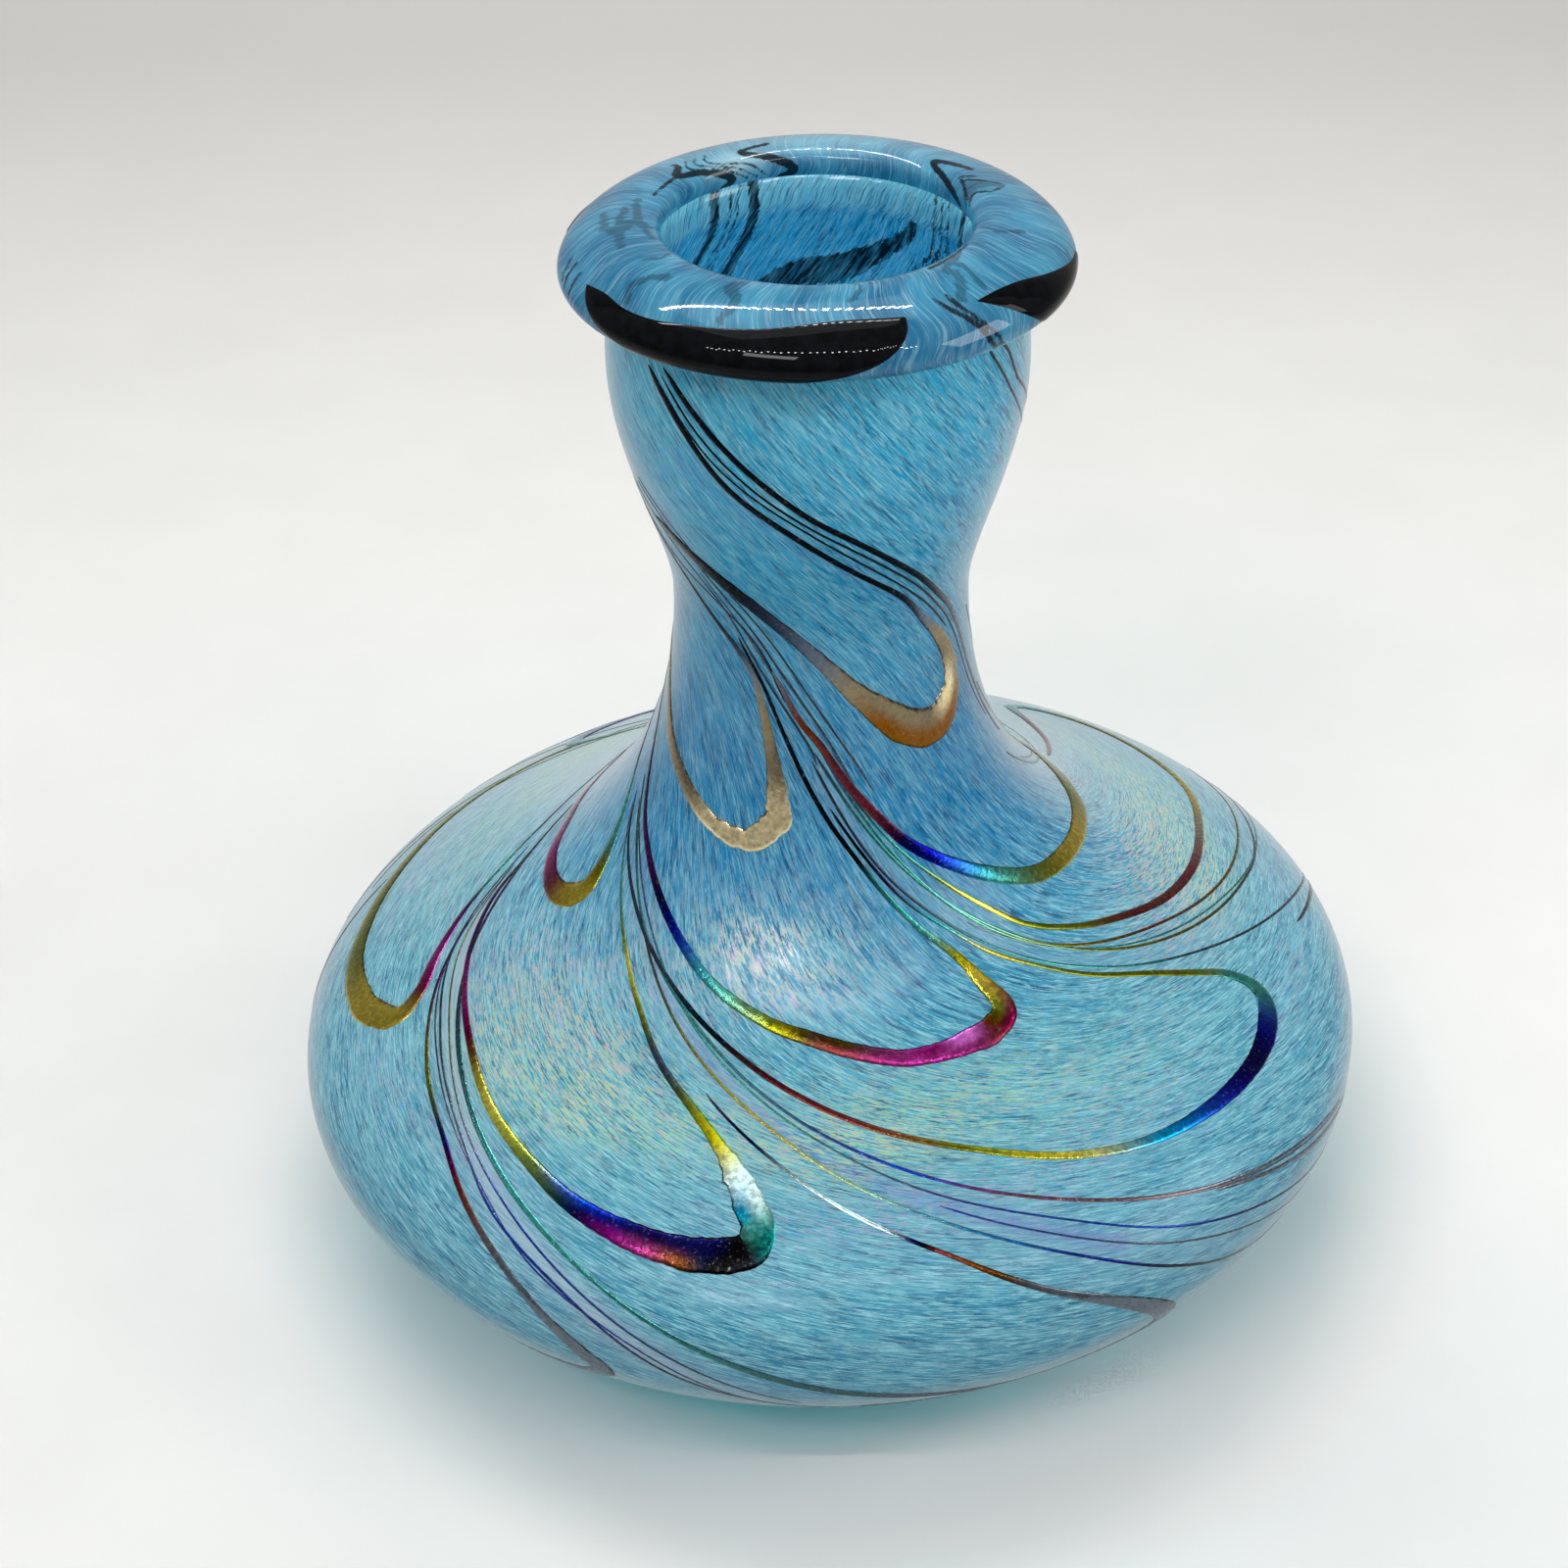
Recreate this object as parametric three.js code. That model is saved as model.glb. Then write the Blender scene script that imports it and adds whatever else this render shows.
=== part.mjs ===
// A squat, hand blown art glass vase: a flattened round body drawn up into a narrow
// waisted neck, closed by a thick rolled lip.  The glass is built up in layers, and
// black glass trails are combed and swirled over the outside.
// Millimetres, +Z up.  The origin is the centre of the foot, on the surface it stands on.
import * as THREE from 'three';

// ---- driving dimensions -------------------------------------------------------------
const BODY_RADIUS = 70;          // widest point of the body
const EQUATOR_Z = 24;            // height of the widest point
const BOWL_DEPTH = 26;           // lower bowl's semi-axis, cut flat by the ground foot
const SHOULDER_FULLNESS = 19.6;  // how far the side stays upright above the equator
const SHOULDER_SWEEP = 53;       // how long the neck takes to straighten
const WAIST_RADIUS = 18.1;
const WAIST_Z = 90.5;
const WAIST_LENGTH = 7.5;        // how far the neck stays narrow above the waist
const BULGE_RADIUS = 24.8;       // the neck swells again under the lip
const BULGE_Z = 121;
const BULGE_SWELL = 11.8;        // how long the neck takes to reach the bulge
const NECK_TOP_RADIUS = 24.5;
const NECK_TOP_Z = 130.6;
const NECK_TOP_LENGTH = 3;       // how far the neck runs straight down from the lip
const LEAN = 0.033;              // the body sits a little higher on its +X side
const LEAN_HEIGHT = 65;          // the lean fades out at the foot and at this height

const CASING_THICKNESS = 1.6;    // coloured skin
const GATHER_THICKNESS = 2.2;    // clear lining
const LAYER_GAP = 0.3;           // clearance between layers
const FOOT_THICKNESS = 3.2;      // casing's glass under the lining
const FLOOR_THICKNESS = 4;       // lining's thick floor
const CASING_CORNER = 3;         // how far the bottom corners are cut back: casing,
const GATHER_CORNER = 4;         // outside of the lining
const INSIDE_CORNER = 8;         // and its inside
const CORNER_RISE = 0.4;         // the lowest corner of a wall stands this far over its floor
const PONTIL_RADIUS = 12;        // polished hollow in the middle of the foot
const PONTIL_DEPTH = 1.4;

const LIP_RADIUS = 23.7;         // centre of the lip's section
const LIP_Z = 134.8;
const LIP_HALF_WIDTH = 6.4;
const LIP_HALF_HEIGHT = 3.05;
const LIP_DROOP = THREE.MathUtils.degToRad(22.8);  // its outer edge hangs down
const PATCH_THICKNESS = 0.4;
const PATCH_CLEARANCE = 0.5;     // the patches' underside stands clear of the lip
const PATCH_SWEEP_STEP = 7;      // degrees of the patches' facets around the vase
const PATCH_SECTION_STEP = 14;   // and around the lip's section
const PATCH_END = 0.08;          // how blunt a patch's ends are

const TRAIL_THICKNESS = 0.4;
const TRAIL_CLEARANCE = 0.35;    // the trails' underside stands clear of the casing
const ARM_WIDTH = 0.8;           // a trail away from its loop's turn
const THREAD_WIDTH = 0.5;
const LOOP_TURN_WIDTH = 2.4;     // the loops round the back, at their turn
const TURN_LENGTH = 11;          // how fast a trail thins away from its loop's turn

const AROUND = 40;               // facets around the axis
const LIP_SIDES = 20;            // facets around the lip's section
const TRAIL_STEP = 4;            // length of a trail's facets
const ROUTE_SAMPLES = 160;       // spots measured along a trail's route

// ---- materials ----------------------------------------------------------------------
function glass(color, roughness, opacity = 1) {
  return new THREE.MeshStandardMaterial({
    color, roughness, metalness: 0, opacity, transparent: opacity < 1, side: THREE.DoubleSide,
  });
}
const clearGlass = () => glass('#a9cfdc', 0.05, 0.4);
const fritGlass = () => glass('#5fa5c8', 0.18, 0.85);
const lipGlass = () => glass('#5aa9c9', 0.04, 0.6);
const blackGlass = () => glass('#0b0d12', 0.06);
const lusterGlass = () => glass('#6d5a35', 0.22);

// ---- the wall's outline ---------------------------------------------------------------
const point = (radius, z) => new THREE.Vector2(radius, z);

// Outer face of the body and neck, from the edge of the foot up to the lip.
function outerWall() {
  const footAngle = Math.asin(EQUATOR_Z / BOWL_DEPTH);
  const wall = new THREE.CurvePath();
  wall.add(new THREE.EllipseCurve(0, EQUATOR_Z, BODY_RADIUS, BOWL_DEPTH, -footAngle, 0));
  wall.add(new THREE.CubicBezierCurve(
    point(BODY_RADIUS, EQUATOR_Z),
    point(BODY_RADIUS, EQUATOR_Z + SHOULDER_FULLNESS),
    point(WAIST_RADIUS, WAIST_Z - SHOULDER_SWEEP),
    point(WAIST_RADIUS, WAIST_Z),
  ));
  wall.add(new THREE.CubicBezierCurve(
    point(WAIST_RADIUS, WAIST_Z),
    point(WAIST_RADIUS, WAIST_Z + WAIST_LENGTH),
    point(BULGE_RADIUS, BULGE_Z - BULGE_SWELL),
    point(BULGE_RADIUS, BULGE_Z),
  ));
  wall.add(new THREE.CubicBezierCurve(
    point(BULGE_RADIUS, BULGE_Z),
    point(BULGE_RADIUS, BULGE_Z + NECK_TOP_LENGTH),
    point(NECK_TOP_RADIUS, NECK_TOP_Z - NECK_TOP_LENGTH),
    point(NECK_TOP_RADIUS, NECK_TOP_Z),
  ));
  wall.curves.forEach((curve) => { curve.arcLengthDivisions = 400; });
  return wall;
}
const WALL = outerWall();
const WALL_LENGTH = WALL.getLength();
const FOOT_RADIUS = WALL.getPoint(0).x;

// The outline moved inwards (negative) or outwards along its own normal, at a distance
// up the wall from the edge of the foot.
function wallPoint(distance, offset = 0) {
  const along = THREE.MathUtils.clamp(distance, 0, WALL_LENGTH);
  let curveIndex = 0;
  let left = along;
  while (curveIndex < WALL.curves.length - 1 && left > WALL.curves[curveIndex].getLength()) {
    left -= WALL.curves[curveIndex].getLength();
    curveIndex += 1;
  }
  const curve = WALL.curves[curveIndex];
  const u = Math.min(left / curve.getLength(), 1);
  const place = curve.getPointAt(u);
  const tangent = curve.getTangentAt(u);
  return point(place.x + tangent.y * offset, place.y - tangent.x * offset);
}

// Distances up the wall where the outline gets a corner: closer together where it bends
// most, which is on both sides of the equator.
function wallStations() {
  const spacings = [
    { steps: 5, spread: (part) => 1 - (1 - part) ** 1.4 },
    { steps: 14, spread: (part) => part ** 1.25 },
    { steps: 6, spread: (part) => part },
    { steps: 1, spread: (part) => part },
  ];
  const stations = [0];
  let start = 0;
  WALL.curves.forEach((curve, index) => {
    const { steps, spread } = spacings[index];
    for (let step = 1; step <= steps; step += 1) {
      stations.push(start + curve.getLength() * spread(step / steps));
    }
    start += curve.getLength();
  });
  return stations;
}

// A face inside the wall, from above `floor` to the top of the neck.
function insideFace(offset, floor) {
  const face = wallStations().map((distance) => wallPoint(distance, -offset));
  return face.filter((corner) => corner.y > floor + CORNER_RISE);
}

// The hand-made lean: points rise with x, most strongly about half way up the body.
function leanRise(x, z) {
  if (z <= 0 || z >= LEAN_HEIGHT) return 0;
  return LEAN * x * Math.sin((Math.PI * z) / LEAN_HEIGHT) ** 2;
}
function applyLean(geometry) {
  const places = geometry.attributes.position;
  for (let i = 0; i < places.count; i += 1) {
    places.setZ(i, places.getZ(i) + leanRise(places.getX(i), places.getZ(i)));
  }
  geometry.computeVertexNormals();
  return geometry;
}

// Turns an outline of (radius, height) points about the vertical axis.
function turned(outline) {
  const geometry = new THREE.LatheGeometry(outline, AROUND);
  geometry.rotateX(Math.PI / 2);
  return applyLean(geometry);
}

// ---- layers of glass ------------------------------------------------------------------
function casing() {
  const outside = wallStations().map((distance) => wallPoint(distance));
  const inside = insideFace(CASING_THICKNESS, FOOT_THICKNESS);
  const floorRadius = inside[0].x - CASING_CORNER;
  return turned([
    point(0, PONTIL_DEPTH),
    point(PONTIL_RADIUS * 0.6, PONTIL_DEPTH * 0.6),
    point(PONTIL_RADIUS, 0),
    ...outside,
    ...inside.reverse(),
    point(floorRadius, FOOT_THICKNESS),
    point(0, FOOT_THICKNESS),
  ]);
}

function gather() {
  const outerOffset = CASING_THICKNESS + LAYER_GAP;
  const under = FOOT_THICKNESS + LAYER_GAP;
  const outside = insideFace(outerOffset, under + CORNER_RISE);
  const inside = insideFace(outerOffset + GATHER_THICKNESS, under + FLOOR_THICKNESS);
  return turned([
    point(0, under),
    point(outside[0].x - GATHER_CORNER, under),
    ...outside,
    ...inside.reverse(),
    point(inside[inside.length - 1].x - INSIDE_CORNER, under + FLOOR_THICKNESS),
    point(0, under + FLOOR_THICKNESS),
  ]);
}

// A place on the lip's section; angle 0 is its outer edge and a quarter turn is its top.
function lipPoint(angle, offset = 0) {
  const across = (LIP_HALF_WIDTH + offset) * Math.cos(angle);
  const up = (LIP_HALF_HEIGHT + offset) * Math.sin(angle);
  return point(
    LIP_RADIUS + across * Math.cos(LIP_DROOP) + up * Math.sin(LIP_DROOP),
    LIP_Z - across * Math.sin(LIP_DROOP) + up * Math.cos(LIP_DROOP),
  );
}
function lip() {
  const section = [];
  for (let side = 0; side <= LIP_SIDES; side += 1) {
    section.push(lipPoint((2 * Math.PI * side) / LIP_SIDES));
  }
  return turned(section);
}

// ---- glass laid on a surface -----------------------------------------------------------
// Bends a box over a surface: `place(along, across, height)` takes the box's own
// coordinates, each 0 to 1, and gives the point they land on.
function bentBox(lengthSteps, widthSteps, place) {
  const geometry = new THREE.BoxGeometry(1, 1, 1, lengthSteps, widthSteps, 1);
  const places = geometry.attributes.position;
  for (let i = 0; i < places.count; i += 1) {
    const spot = place(places.getX(i) + 0.5, places.getY(i) + 0.5, places.getZ(i) + 0.5);
    places.setXYZ(i, spot.x, spot.y, spot.z);
  }
  geometry.computeVertexNormals();
  return geometry;
}

// A black patch in the lip, centred on `bearing` degrees from the front (-Y), towards +X.
function lipPatch(bearing, sweep, [lowest, highest]) {
  const lengthSteps = Math.round(sweep / PATCH_SWEEP_STEP);
  const widthSteps = Math.round((highest - lowest) / PATCH_SECTION_STEP);
  return bentBox(lengthSteps, widthSteps, (along, across, height) => {
    const taper = Math.sqrt(Math.max(PATCH_END, 1 - (2 * along - 1) ** 4));
    const middle = (lowest + highest) / 2;
    const sectionAngle = middle + (highest - lowest) * (across - 0.5) * taper;
    const offset = PATCH_CLEARANCE + height * PATCH_THICKNESS;
    const section = lipPoint(THREE.MathUtils.degToRad(sectionAngle), offset);
    const turn = THREE.MathUtils.degToRad(bearing + sweep * (along - 0.5));
    return new THREE.Vector3(
      section.x * Math.sin(turn), -section.x * Math.cos(turn), section.y,
    );
  });
}

// Where the patches lie: bearing and sweep around the lip, and how far each one wraps its
// section, from below the outer edge up over the top.
const LIP_PATCHES = {
  lip_patch_front: { bearing: -23, sweep: 88, section: [-45, 80] },
  lip_patch_right: { bearing: 61, sweep: 46, section: [-50, 74] },
  lip_patch_left: { bearing: -107, sweep: 16, section: [-25, 50] },
  lip_patch_back_left: { bearing: -152, sweep: 24, section: [-35, 62] },
  lip_patch_back_right: { bearing: 136, sweep: 30, section: [-35, 50] },
};

// A spot on the wall: bearing in degrees from the front (-Y) towards +X, distance up the
// wall in mm, and how far outside the glass it lies.
function onWall(bearing, distance, offset) {
  const section = wallPoint(distance, offset);
  const turn = THREE.MathUtils.degToRad(bearing);
  const x = section.x * Math.sin(turn);
  return new THREE.Vector3(x, -section.x * Math.cos(turn), section.y + leanRise(x, section.y));
}

// A trail is a flat ribbon along a smooth route of [bearing, distance] points.  It is
// `turnWidth` wide at `turnAt`, the bend of its loop, and thins to `armWidth` both ways.
function trail({ route, turnAt = null, turnWidth = THREAD_WIDTH, armWidth = THREAD_WIDTH }) {
  const flat = new THREE.SplineCurve(route.map(([bearing, distance]) => point(bearing, distance)));
  const spots = flat.getPoints(ROUTE_SAMPLES);
  const travelled = [0];
  for (let i = 1; i <= ROUTE_SAMPLES; i += 1) {
    const before = onWall(spots[i - 1].x, spots[i - 1].y, 0);
    travelled.push(travelled[i - 1] + before.distanceTo(onWall(spots[i].x, spots[i].y, 0)));
  }
  const whole = travelled[ROUTE_SAMPLES];
  const turnShare = turnAt === null ? 0 : turnAt / (route.length - 1);
  const turnDistance = travelled[Math.round(turnShare * ROUTE_SAMPLES)];

  function spotAt(distance) {
    let i = 1;
    while (i < ROUTE_SAMPLES && travelled[i] < distance) i += 1;
    const mix = (distance - travelled[i - 1]) / (travelled[i] - travelled[i - 1]);
    return spots[i - 1].clone().lerp(spots[i], THREE.MathUtils.clamp(mix, 0, 1));
  }
  function widthAt(distance) {
    if (turnAt === null) return turnWidth;
    const away = (distance - turnDistance) / TURN_LENGTH;
    return armWidth + (turnWidth - armWidth) * Math.exp(-away * away);
  }
  return bentBox(Math.round(whole / TRAIL_STEP), 1, (along, across, height) => {
    const distance = along * whole;
    const spot = spotAt(distance);
    const ahead = spotAt(Math.min(distance + 0.5, whole));
    const behind = spotAt(Math.max(distance - 0.5, 0));
    const degreesPerMm = THREE.MathUtils.radToDeg(1 / wallPoint(spot.y).x);
    const forward = point((ahead.x - behind.x) / degreesPerMm, ahead.y - behind.y).normalize();
    const aside = (across - 0.5) * widthAt(distance);
    return onWall(
      spot.x - forward.y * aside * degreesPerMm,
      spot.y + forward.x * aside,
      TRAIL_CLEARANCE + height * TRAIL_THICKNESS,
    );
  });
}

// Loops laid out one by one: the front and sides of the vase.
const PLACED_LOOPS = {
  trail_loop_neck_front: { turnWidth: 3.1, armWidth: 1.2, turnAt: 6, route: [
    [-62, 158], [-32, 151], [-2, 142], [21, 133.5], [31, 130.5], [42, 130.5], [52, 132],
    [56, 134.5], [54, 138], [49, 141.5], [28, 150], [-10, 162.5], [-38, 174], [-50, 180]] },
  trail_loop_neck_left: { turnWidth: 2.7, turnAt: 6, route: [
    [-85, 131], [-69, 125], [-50, 120.5], [-40, 118.5], [-30, 117.5], [-22, 118], [-16, 120.5],
    [-18, 126.5], [-24, 135], [-35, 142], [-62, 151.5]] },
  trail_loop_shoulder_left: { turnWidth: 2.7, turnAt: 4, route: [
    [-108, 101], [-98, 99.5], [-89, 97.5], [-79, 97], [-72, 98.5], [-69, 101], [-70, 104.5],
    [-81, 113.5], [-89, 117]] },
  trail_loop_shoulder_front: { turnWidth: 2.3, turnAt: 8, route: [
    [-66, 114], [-55, 110], [-35, 103], [-12, 96], [0, 93.5], [12, 91], [24, 91], [31, 91.5],
    [33, 93.5], [31, 98], [28, 102], [9, 115.5], [-6, 125.5]] },
  trail_loop_shoulder_right: { turnWidth: 2.5, turnAt: 7, route: [
    [-4, 131.5], [15, 121.5], [36, 112.5], [49, 108], [74, 102.5], [99, 100], [112, 100],
    [118, 101.5], [117, 105], [106, 114]] },
  trail_loop_body_left: { turnWidth: 2.7, turnAt: 5, route: [
    [-120, 68.5], [-110, 67], [-100, 66], [-90, 65.5], [-81, 67], [-76, 69.5], [-74, 72],
    [-76, 75.5], [-89, 83.5], [-103, 93]] },
  trail_loop_body_front: { turnWidth: 2.8, turnAt: 7, route: [
    [-79, 84], [-60, 78], [-40, 71.5], [-30, 68.5], [-20, 67], [-12, 66.5], [-9, 68.5],
    [-9, 72], [-15, 79.5], [-29, 88.5], [-43, 96.5]] },
  trail_loop_body_right: { turnWidth: 2.4, turnAt: 10, route: [
    [-42, 101], [-20, 93], [5, 83], [18, 78], [30, 73], [40, 70], [50, 68.5], [60, 68],
    [68, 69], [71, 71.5], [71, 75.5], [61, 85.5], [50, 92.5]] },
  trail_loop_body_far_right: { turnWidth: 2.2, turnAt: 6, route: [
    [50, 99.5], [58, 96.5], [80, 87], [105, 77], [118, 72], [130, 69.5], [141, 69.5], [147, 72],
    [146, 77], [136, 87]] },
  trail_loop_low_left: { turnWidth: 2, turnAt: 5, route: [
    [-60, 71], [-52, 68], [-36, 59], [-30, 55], [-26, 51.5], [-24, 48.5], [-28, 45.5],
    [-38, 44.5], [-52, 46]] },
  trail_loop_low_front: { turnWidth: 1.8, turnAt: 4, route: [
    [6, 69.5], [22, 58], [29, 54], [33, 49.5], [33, 46], [27, 43.5], [16, 43.5], [2, 46]] },
};

// The same loop repeated round the back: [bearing, distance] from the bend of the loop,
// with how far its lower arm reaches and how high its arms rise.
const LOOP_SHAPE = [
  [-62, 11], [-48, 6], [-34, 1.5], [-14, -3.5], [-4, -2.5], [0, 0], [-2, 5], [-13, 15], [-26, 24],
];
const REPEATED_LOOPS = {
  trail_loop_neck_back_right: { at: [140, 124], reach: 0.55, rise: 1 },
  trail_loop_neck_back_left: { at: [-158, 127], reach: 0.55, rise: 1 },
  trail_loop_shoulder_back: { at: [-168, 100], reach: 0.7, rise: 1 },
  trail_loop_shoulder_back_left: { at: [-130, 103], reach: 0.5, rise: 0.8 },
  trail_loop_body_back: { at: [-142, 72], reach: 0.9, rise: 1 },
  trail_loop_low_right: { at: [112, 47], reach: 0.9, rise: 0.8 },
  trail_loop_low_back: { at: [-150, 47], reach: 1, rise: 0.8 },
  trail_loop_low_back_left: { at: [-86, 46], reach: 0.8, rise: 0.8 },
};

// Fine threads of the same black glass, drawn out along the bundles between the loops.
const THREADS = {
  trail_thread_neck: [[-44, 181], [-15, 169], [9, 160.5], [34, 152.5], [59, 144], [70, 137]],
  trail_thread_neck_right: [[50, 181], [59, 178], [66, 174.5], [76, 170], [90, 165]],
  trail_thread_front: [[-38, 95.5], [-25, 88.5], [-10, 80.5], [12, 69.5], [25, 64.5], [38, 60], [55, 55]],
  trail_thread_right: [[46, 97], [56, 91], [76, 80], [92, 68.5], [104, 59]],
  trail_thread_left: [[-57, 75], [-50, 71.5], [-40, 67], [-30, 62], [-10, 53.5], [12, 46]],
};

// ---- assembly -------------------------------------------------------------------------
const vase = new THREE.Group();
function add(name, geometry, material) {
  const mesh = new THREE.Mesh(geometry, material);
  mesh.name = name;
  vase.add(mesh);
}

add('color_casing', casing(), fritGlass());
add('clear_gather', gather(), clearGlass());
add('rolled_lip', lip(), lipGlass());

for (const [name, { bearing, sweep, section }] of Object.entries(LIP_PATCHES)) {
  add(name, lipPatch(bearing, sweep, section), blackGlass());
}
for (const [name, loop] of Object.entries(PLACED_LOOPS)) {
  add(name, trail({ armWidth: ARM_WIDTH, ...loop }), lusterGlass());
}
for (const [name, { at: [bearing, distance], reach, rise }] of Object.entries(REPEATED_LOOPS)) {
  const spread = (2 * reach * BODY_RADIUS) / (BODY_RADIUS + wallPoint(distance).x);
  const route = LOOP_SHAPE.map(([aside, up]) => [bearing + aside * spread, distance + up * rise]);
  const turnAt = LOOP_SHAPE.findIndex(([aside, up]) => aside === 0 && up === 0);
  add(name, trail({ turnWidth: LOOP_TURN_WIDTH, armWidth: ARM_WIDTH, turnAt, route }), lusterGlass());
}
for (const [name, route] of Object.entries(THREADS)) {
  add(name, trail({ route }), blackGlass());
}

export default vase;
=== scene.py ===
"""A hand blown art glass vase on a pale studio floor.

The glass is built up in layers: a clear lining, a skin of blue and white frit, a thick rolled
lip with black patches in it, and black, lustred trails combed into swirled loops.  Lengths in
this script are millimetres and bearings are degrees from the front (-Y) towards +X, until a
mesh is made, which is in metres.
"""
import math

import bpy
import numpy as np
from mathutils import Matrix, Vector, noise


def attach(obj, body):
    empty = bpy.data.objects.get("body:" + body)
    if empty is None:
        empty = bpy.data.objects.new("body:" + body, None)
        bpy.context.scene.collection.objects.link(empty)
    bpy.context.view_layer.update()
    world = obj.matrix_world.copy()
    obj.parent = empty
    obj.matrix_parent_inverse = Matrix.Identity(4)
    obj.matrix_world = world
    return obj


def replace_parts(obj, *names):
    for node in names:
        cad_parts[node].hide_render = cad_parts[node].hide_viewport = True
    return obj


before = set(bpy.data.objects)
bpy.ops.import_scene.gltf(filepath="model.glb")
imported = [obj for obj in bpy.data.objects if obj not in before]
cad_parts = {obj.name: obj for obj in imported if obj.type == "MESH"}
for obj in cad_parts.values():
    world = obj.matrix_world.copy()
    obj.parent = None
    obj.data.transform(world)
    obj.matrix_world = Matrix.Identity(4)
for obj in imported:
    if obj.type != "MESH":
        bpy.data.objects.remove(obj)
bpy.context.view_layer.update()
MM = 0.001

# ---- driving dimensions, as in the CAD model ----
BODY_RADIUS, EQUATOR_Z, BOWL_DEPTH = 70.0, 24.0, 26.0
SHOULDER_FULLNESS, SHOULDER_SWEEP = 19.6, 53.0
WAIST_RADIUS, WAIST_Z, WAIST_SWEEP = 18.1, 90.5, 7.5
BULGE_RADIUS, BULGE_Z, BULGE_SWEEP = 24.8, 121.0, 11.8
NECK_TOP_RADIUS, NECK_TOP_Z = 24.5, 130.6
TOP_SWEEP, RIM_SWEEP = 3.5, 3.0
LEAN, LEAN_HEIGHT = 0.033, 65.0
CASING_THICKNESS, GATHER_THICKNESS, GLASS_GAP = 1.6, 2.2, 0.3
FOOT_THICKNESS, FLOOR_Z = 3.2, 7.5
PONTIL_RADIUS, PONTIL_DEPTH = 12.0, 1.4
LIP_RADIUS, LIP_Z = 23.7, 134.8
LIP_HALF_WIDTH, LIP_HALF_HEIGHT, LIP_DROOP = 6.4, 3.05, math.radians(22.8)

# ---- the wall's outline ----


def bezier(p0, p1, p2, p3, count=300):
    t = np.linspace(0, 1, count)[:, None]
    p0, p1, p2, p3 = (np.array(p, float) for p in (p0, p1, p2, p3))
    return (1 - t) ** 3 * p0 + 3 * (1 - t) ** 2 * t * p1 + 3 * (1 - t) * t**2 * p2 + t**3 * p3


def outer_wall():
    """(radius, height) points up the outside, from the edge of the foot to the lip."""
    angle = np.linspace(-math.asin(EQUATOR_Z / BOWL_DEPTH), 0, 300)
    bowl = np.c_[BODY_RADIUS * np.cos(angle), EQUATOR_Z + BOWL_DEPTH * np.sin(angle)]
    shoulder = bezier(
        (BODY_RADIUS, EQUATOR_Z),
        (BODY_RADIUS, EQUATOR_Z + SHOULDER_FULLNESS),
        (WAIST_RADIUS, WAIST_Z - SHOULDER_SWEEP),
        (WAIST_RADIUS, WAIST_Z),
    )
    neck = bezier(
        (WAIST_RADIUS, WAIST_Z),
        (WAIST_RADIUS, WAIST_Z + WAIST_SWEEP),
        (BULGE_RADIUS, BULGE_Z - BULGE_SWEEP),
        (BULGE_RADIUS, BULGE_Z),
    )
    top = bezier(
        (BULGE_RADIUS, BULGE_Z),
        (BULGE_RADIUS, BULGE_Z + TOP_SWEEP),
        (NECK_TOP_RADIUS, NECK_TOP_Z - RIM_SWEEP),
        (NECK_TOP_RADIUS, NECK_TOP_Z),
    )
    return np.vstack([bowl, shoulder[1:], neck[1:], top[1:]])


WALL = outer_wall()
WALL_DISTANCE = np.r_[0, np.cumsum(np.hypot(*np.diff(WALL, axis=0).T))]
WALL_LENGTH = WALL_DISTANCE[-1]
FOOT_RADIUS = WALL[0, 0]


def wall_at(distance):
    return (
        np.interp(distance, WALL_DISTANCE, WALL[:, 0]),
        np.interp(distance, WALL_DISTANCE, WALL[:, 1]),
    )


def wall_offset(distance, offset):
    """The outline moved out along its own normal by offset, at a distance up the wall."""
    step = 0.05
    distance = np.clip(distance, step, WALL_LENGTH - step)
    r0, z0 = wall_at(distance - step)
    r1, z1 = wall_at(distance + step)
    length = np.hypot(r1 - r0, z1 - z0)
    r, z = wall_at(distance)
    return r + (z1 - z0) / length * offset, z - (r1 - r0) / length * offset


def lean_rise(x, z):
    inside = np.clip(z, 0, LEAN_HEIGHT)
    return LEAN * x * np.sin(math.pi * inside / LEAN_HEIGHT) ** 2


def turned(radius, z, bearing):
    """Points in metres at a radius, height and bearing, with the body's hand-made lean."""
    turn = np.radians(bearing)
    x = radius * np.sin(turn)
    y = -radius * np.cos(turn)
    return np.stack(np.broadcast_arrays(x, y, z + lean_rise(x, z)), -1) * MM


def on_wall(bearing, distance, offset):
    r, z = wall_offset(distance, offset)
    return turned(r, z, bearing)


# How fast the glass was twisted: degrees per mm, at distances in mm up the wall.
TWIST_RATE = [(-30, 4.0), (50, 4.0), (70, 3.6), (85, 3.0), (95, 1.8), (105, 1.0), (120, 1.1),
              (130, 1.6), (140, 2.2), (150, 2.6), (160, 2.1), (185, 1.6)]
FLOW_STEP = 0.1
FLOW_DISTANCE = np.linspace(-30, 190, 2201)
FLOW_RATE = np.interp(FLOW_DISTANCE, *zip(*TWIST_RATE))
FLOW_TURN = np.cumsum(FLOW_RATE) * FLOW_STEP
FLOW_SLOPE = np.radians(FLOW_RATE) * wall_at(FLOW_DISTANCE)[0]
FLOW_LENGTH = np.cumsum(np.hypot(1, FLOW_SLOPE)) * FLOW_STEP


def flow(bearing, distance):
    """Coordinates that follow the swirl: two across it, and the mm drawn out along it."""
    turn = np.radians(bearing + np.interp(distance, FLOW_DISTANCE, FLOW_TURN))
    return np.c_[np.cos(turn), np.sin(turn), np.interp(distance, FLOW_DISTANCE, FLOW_LENGTH)]


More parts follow.
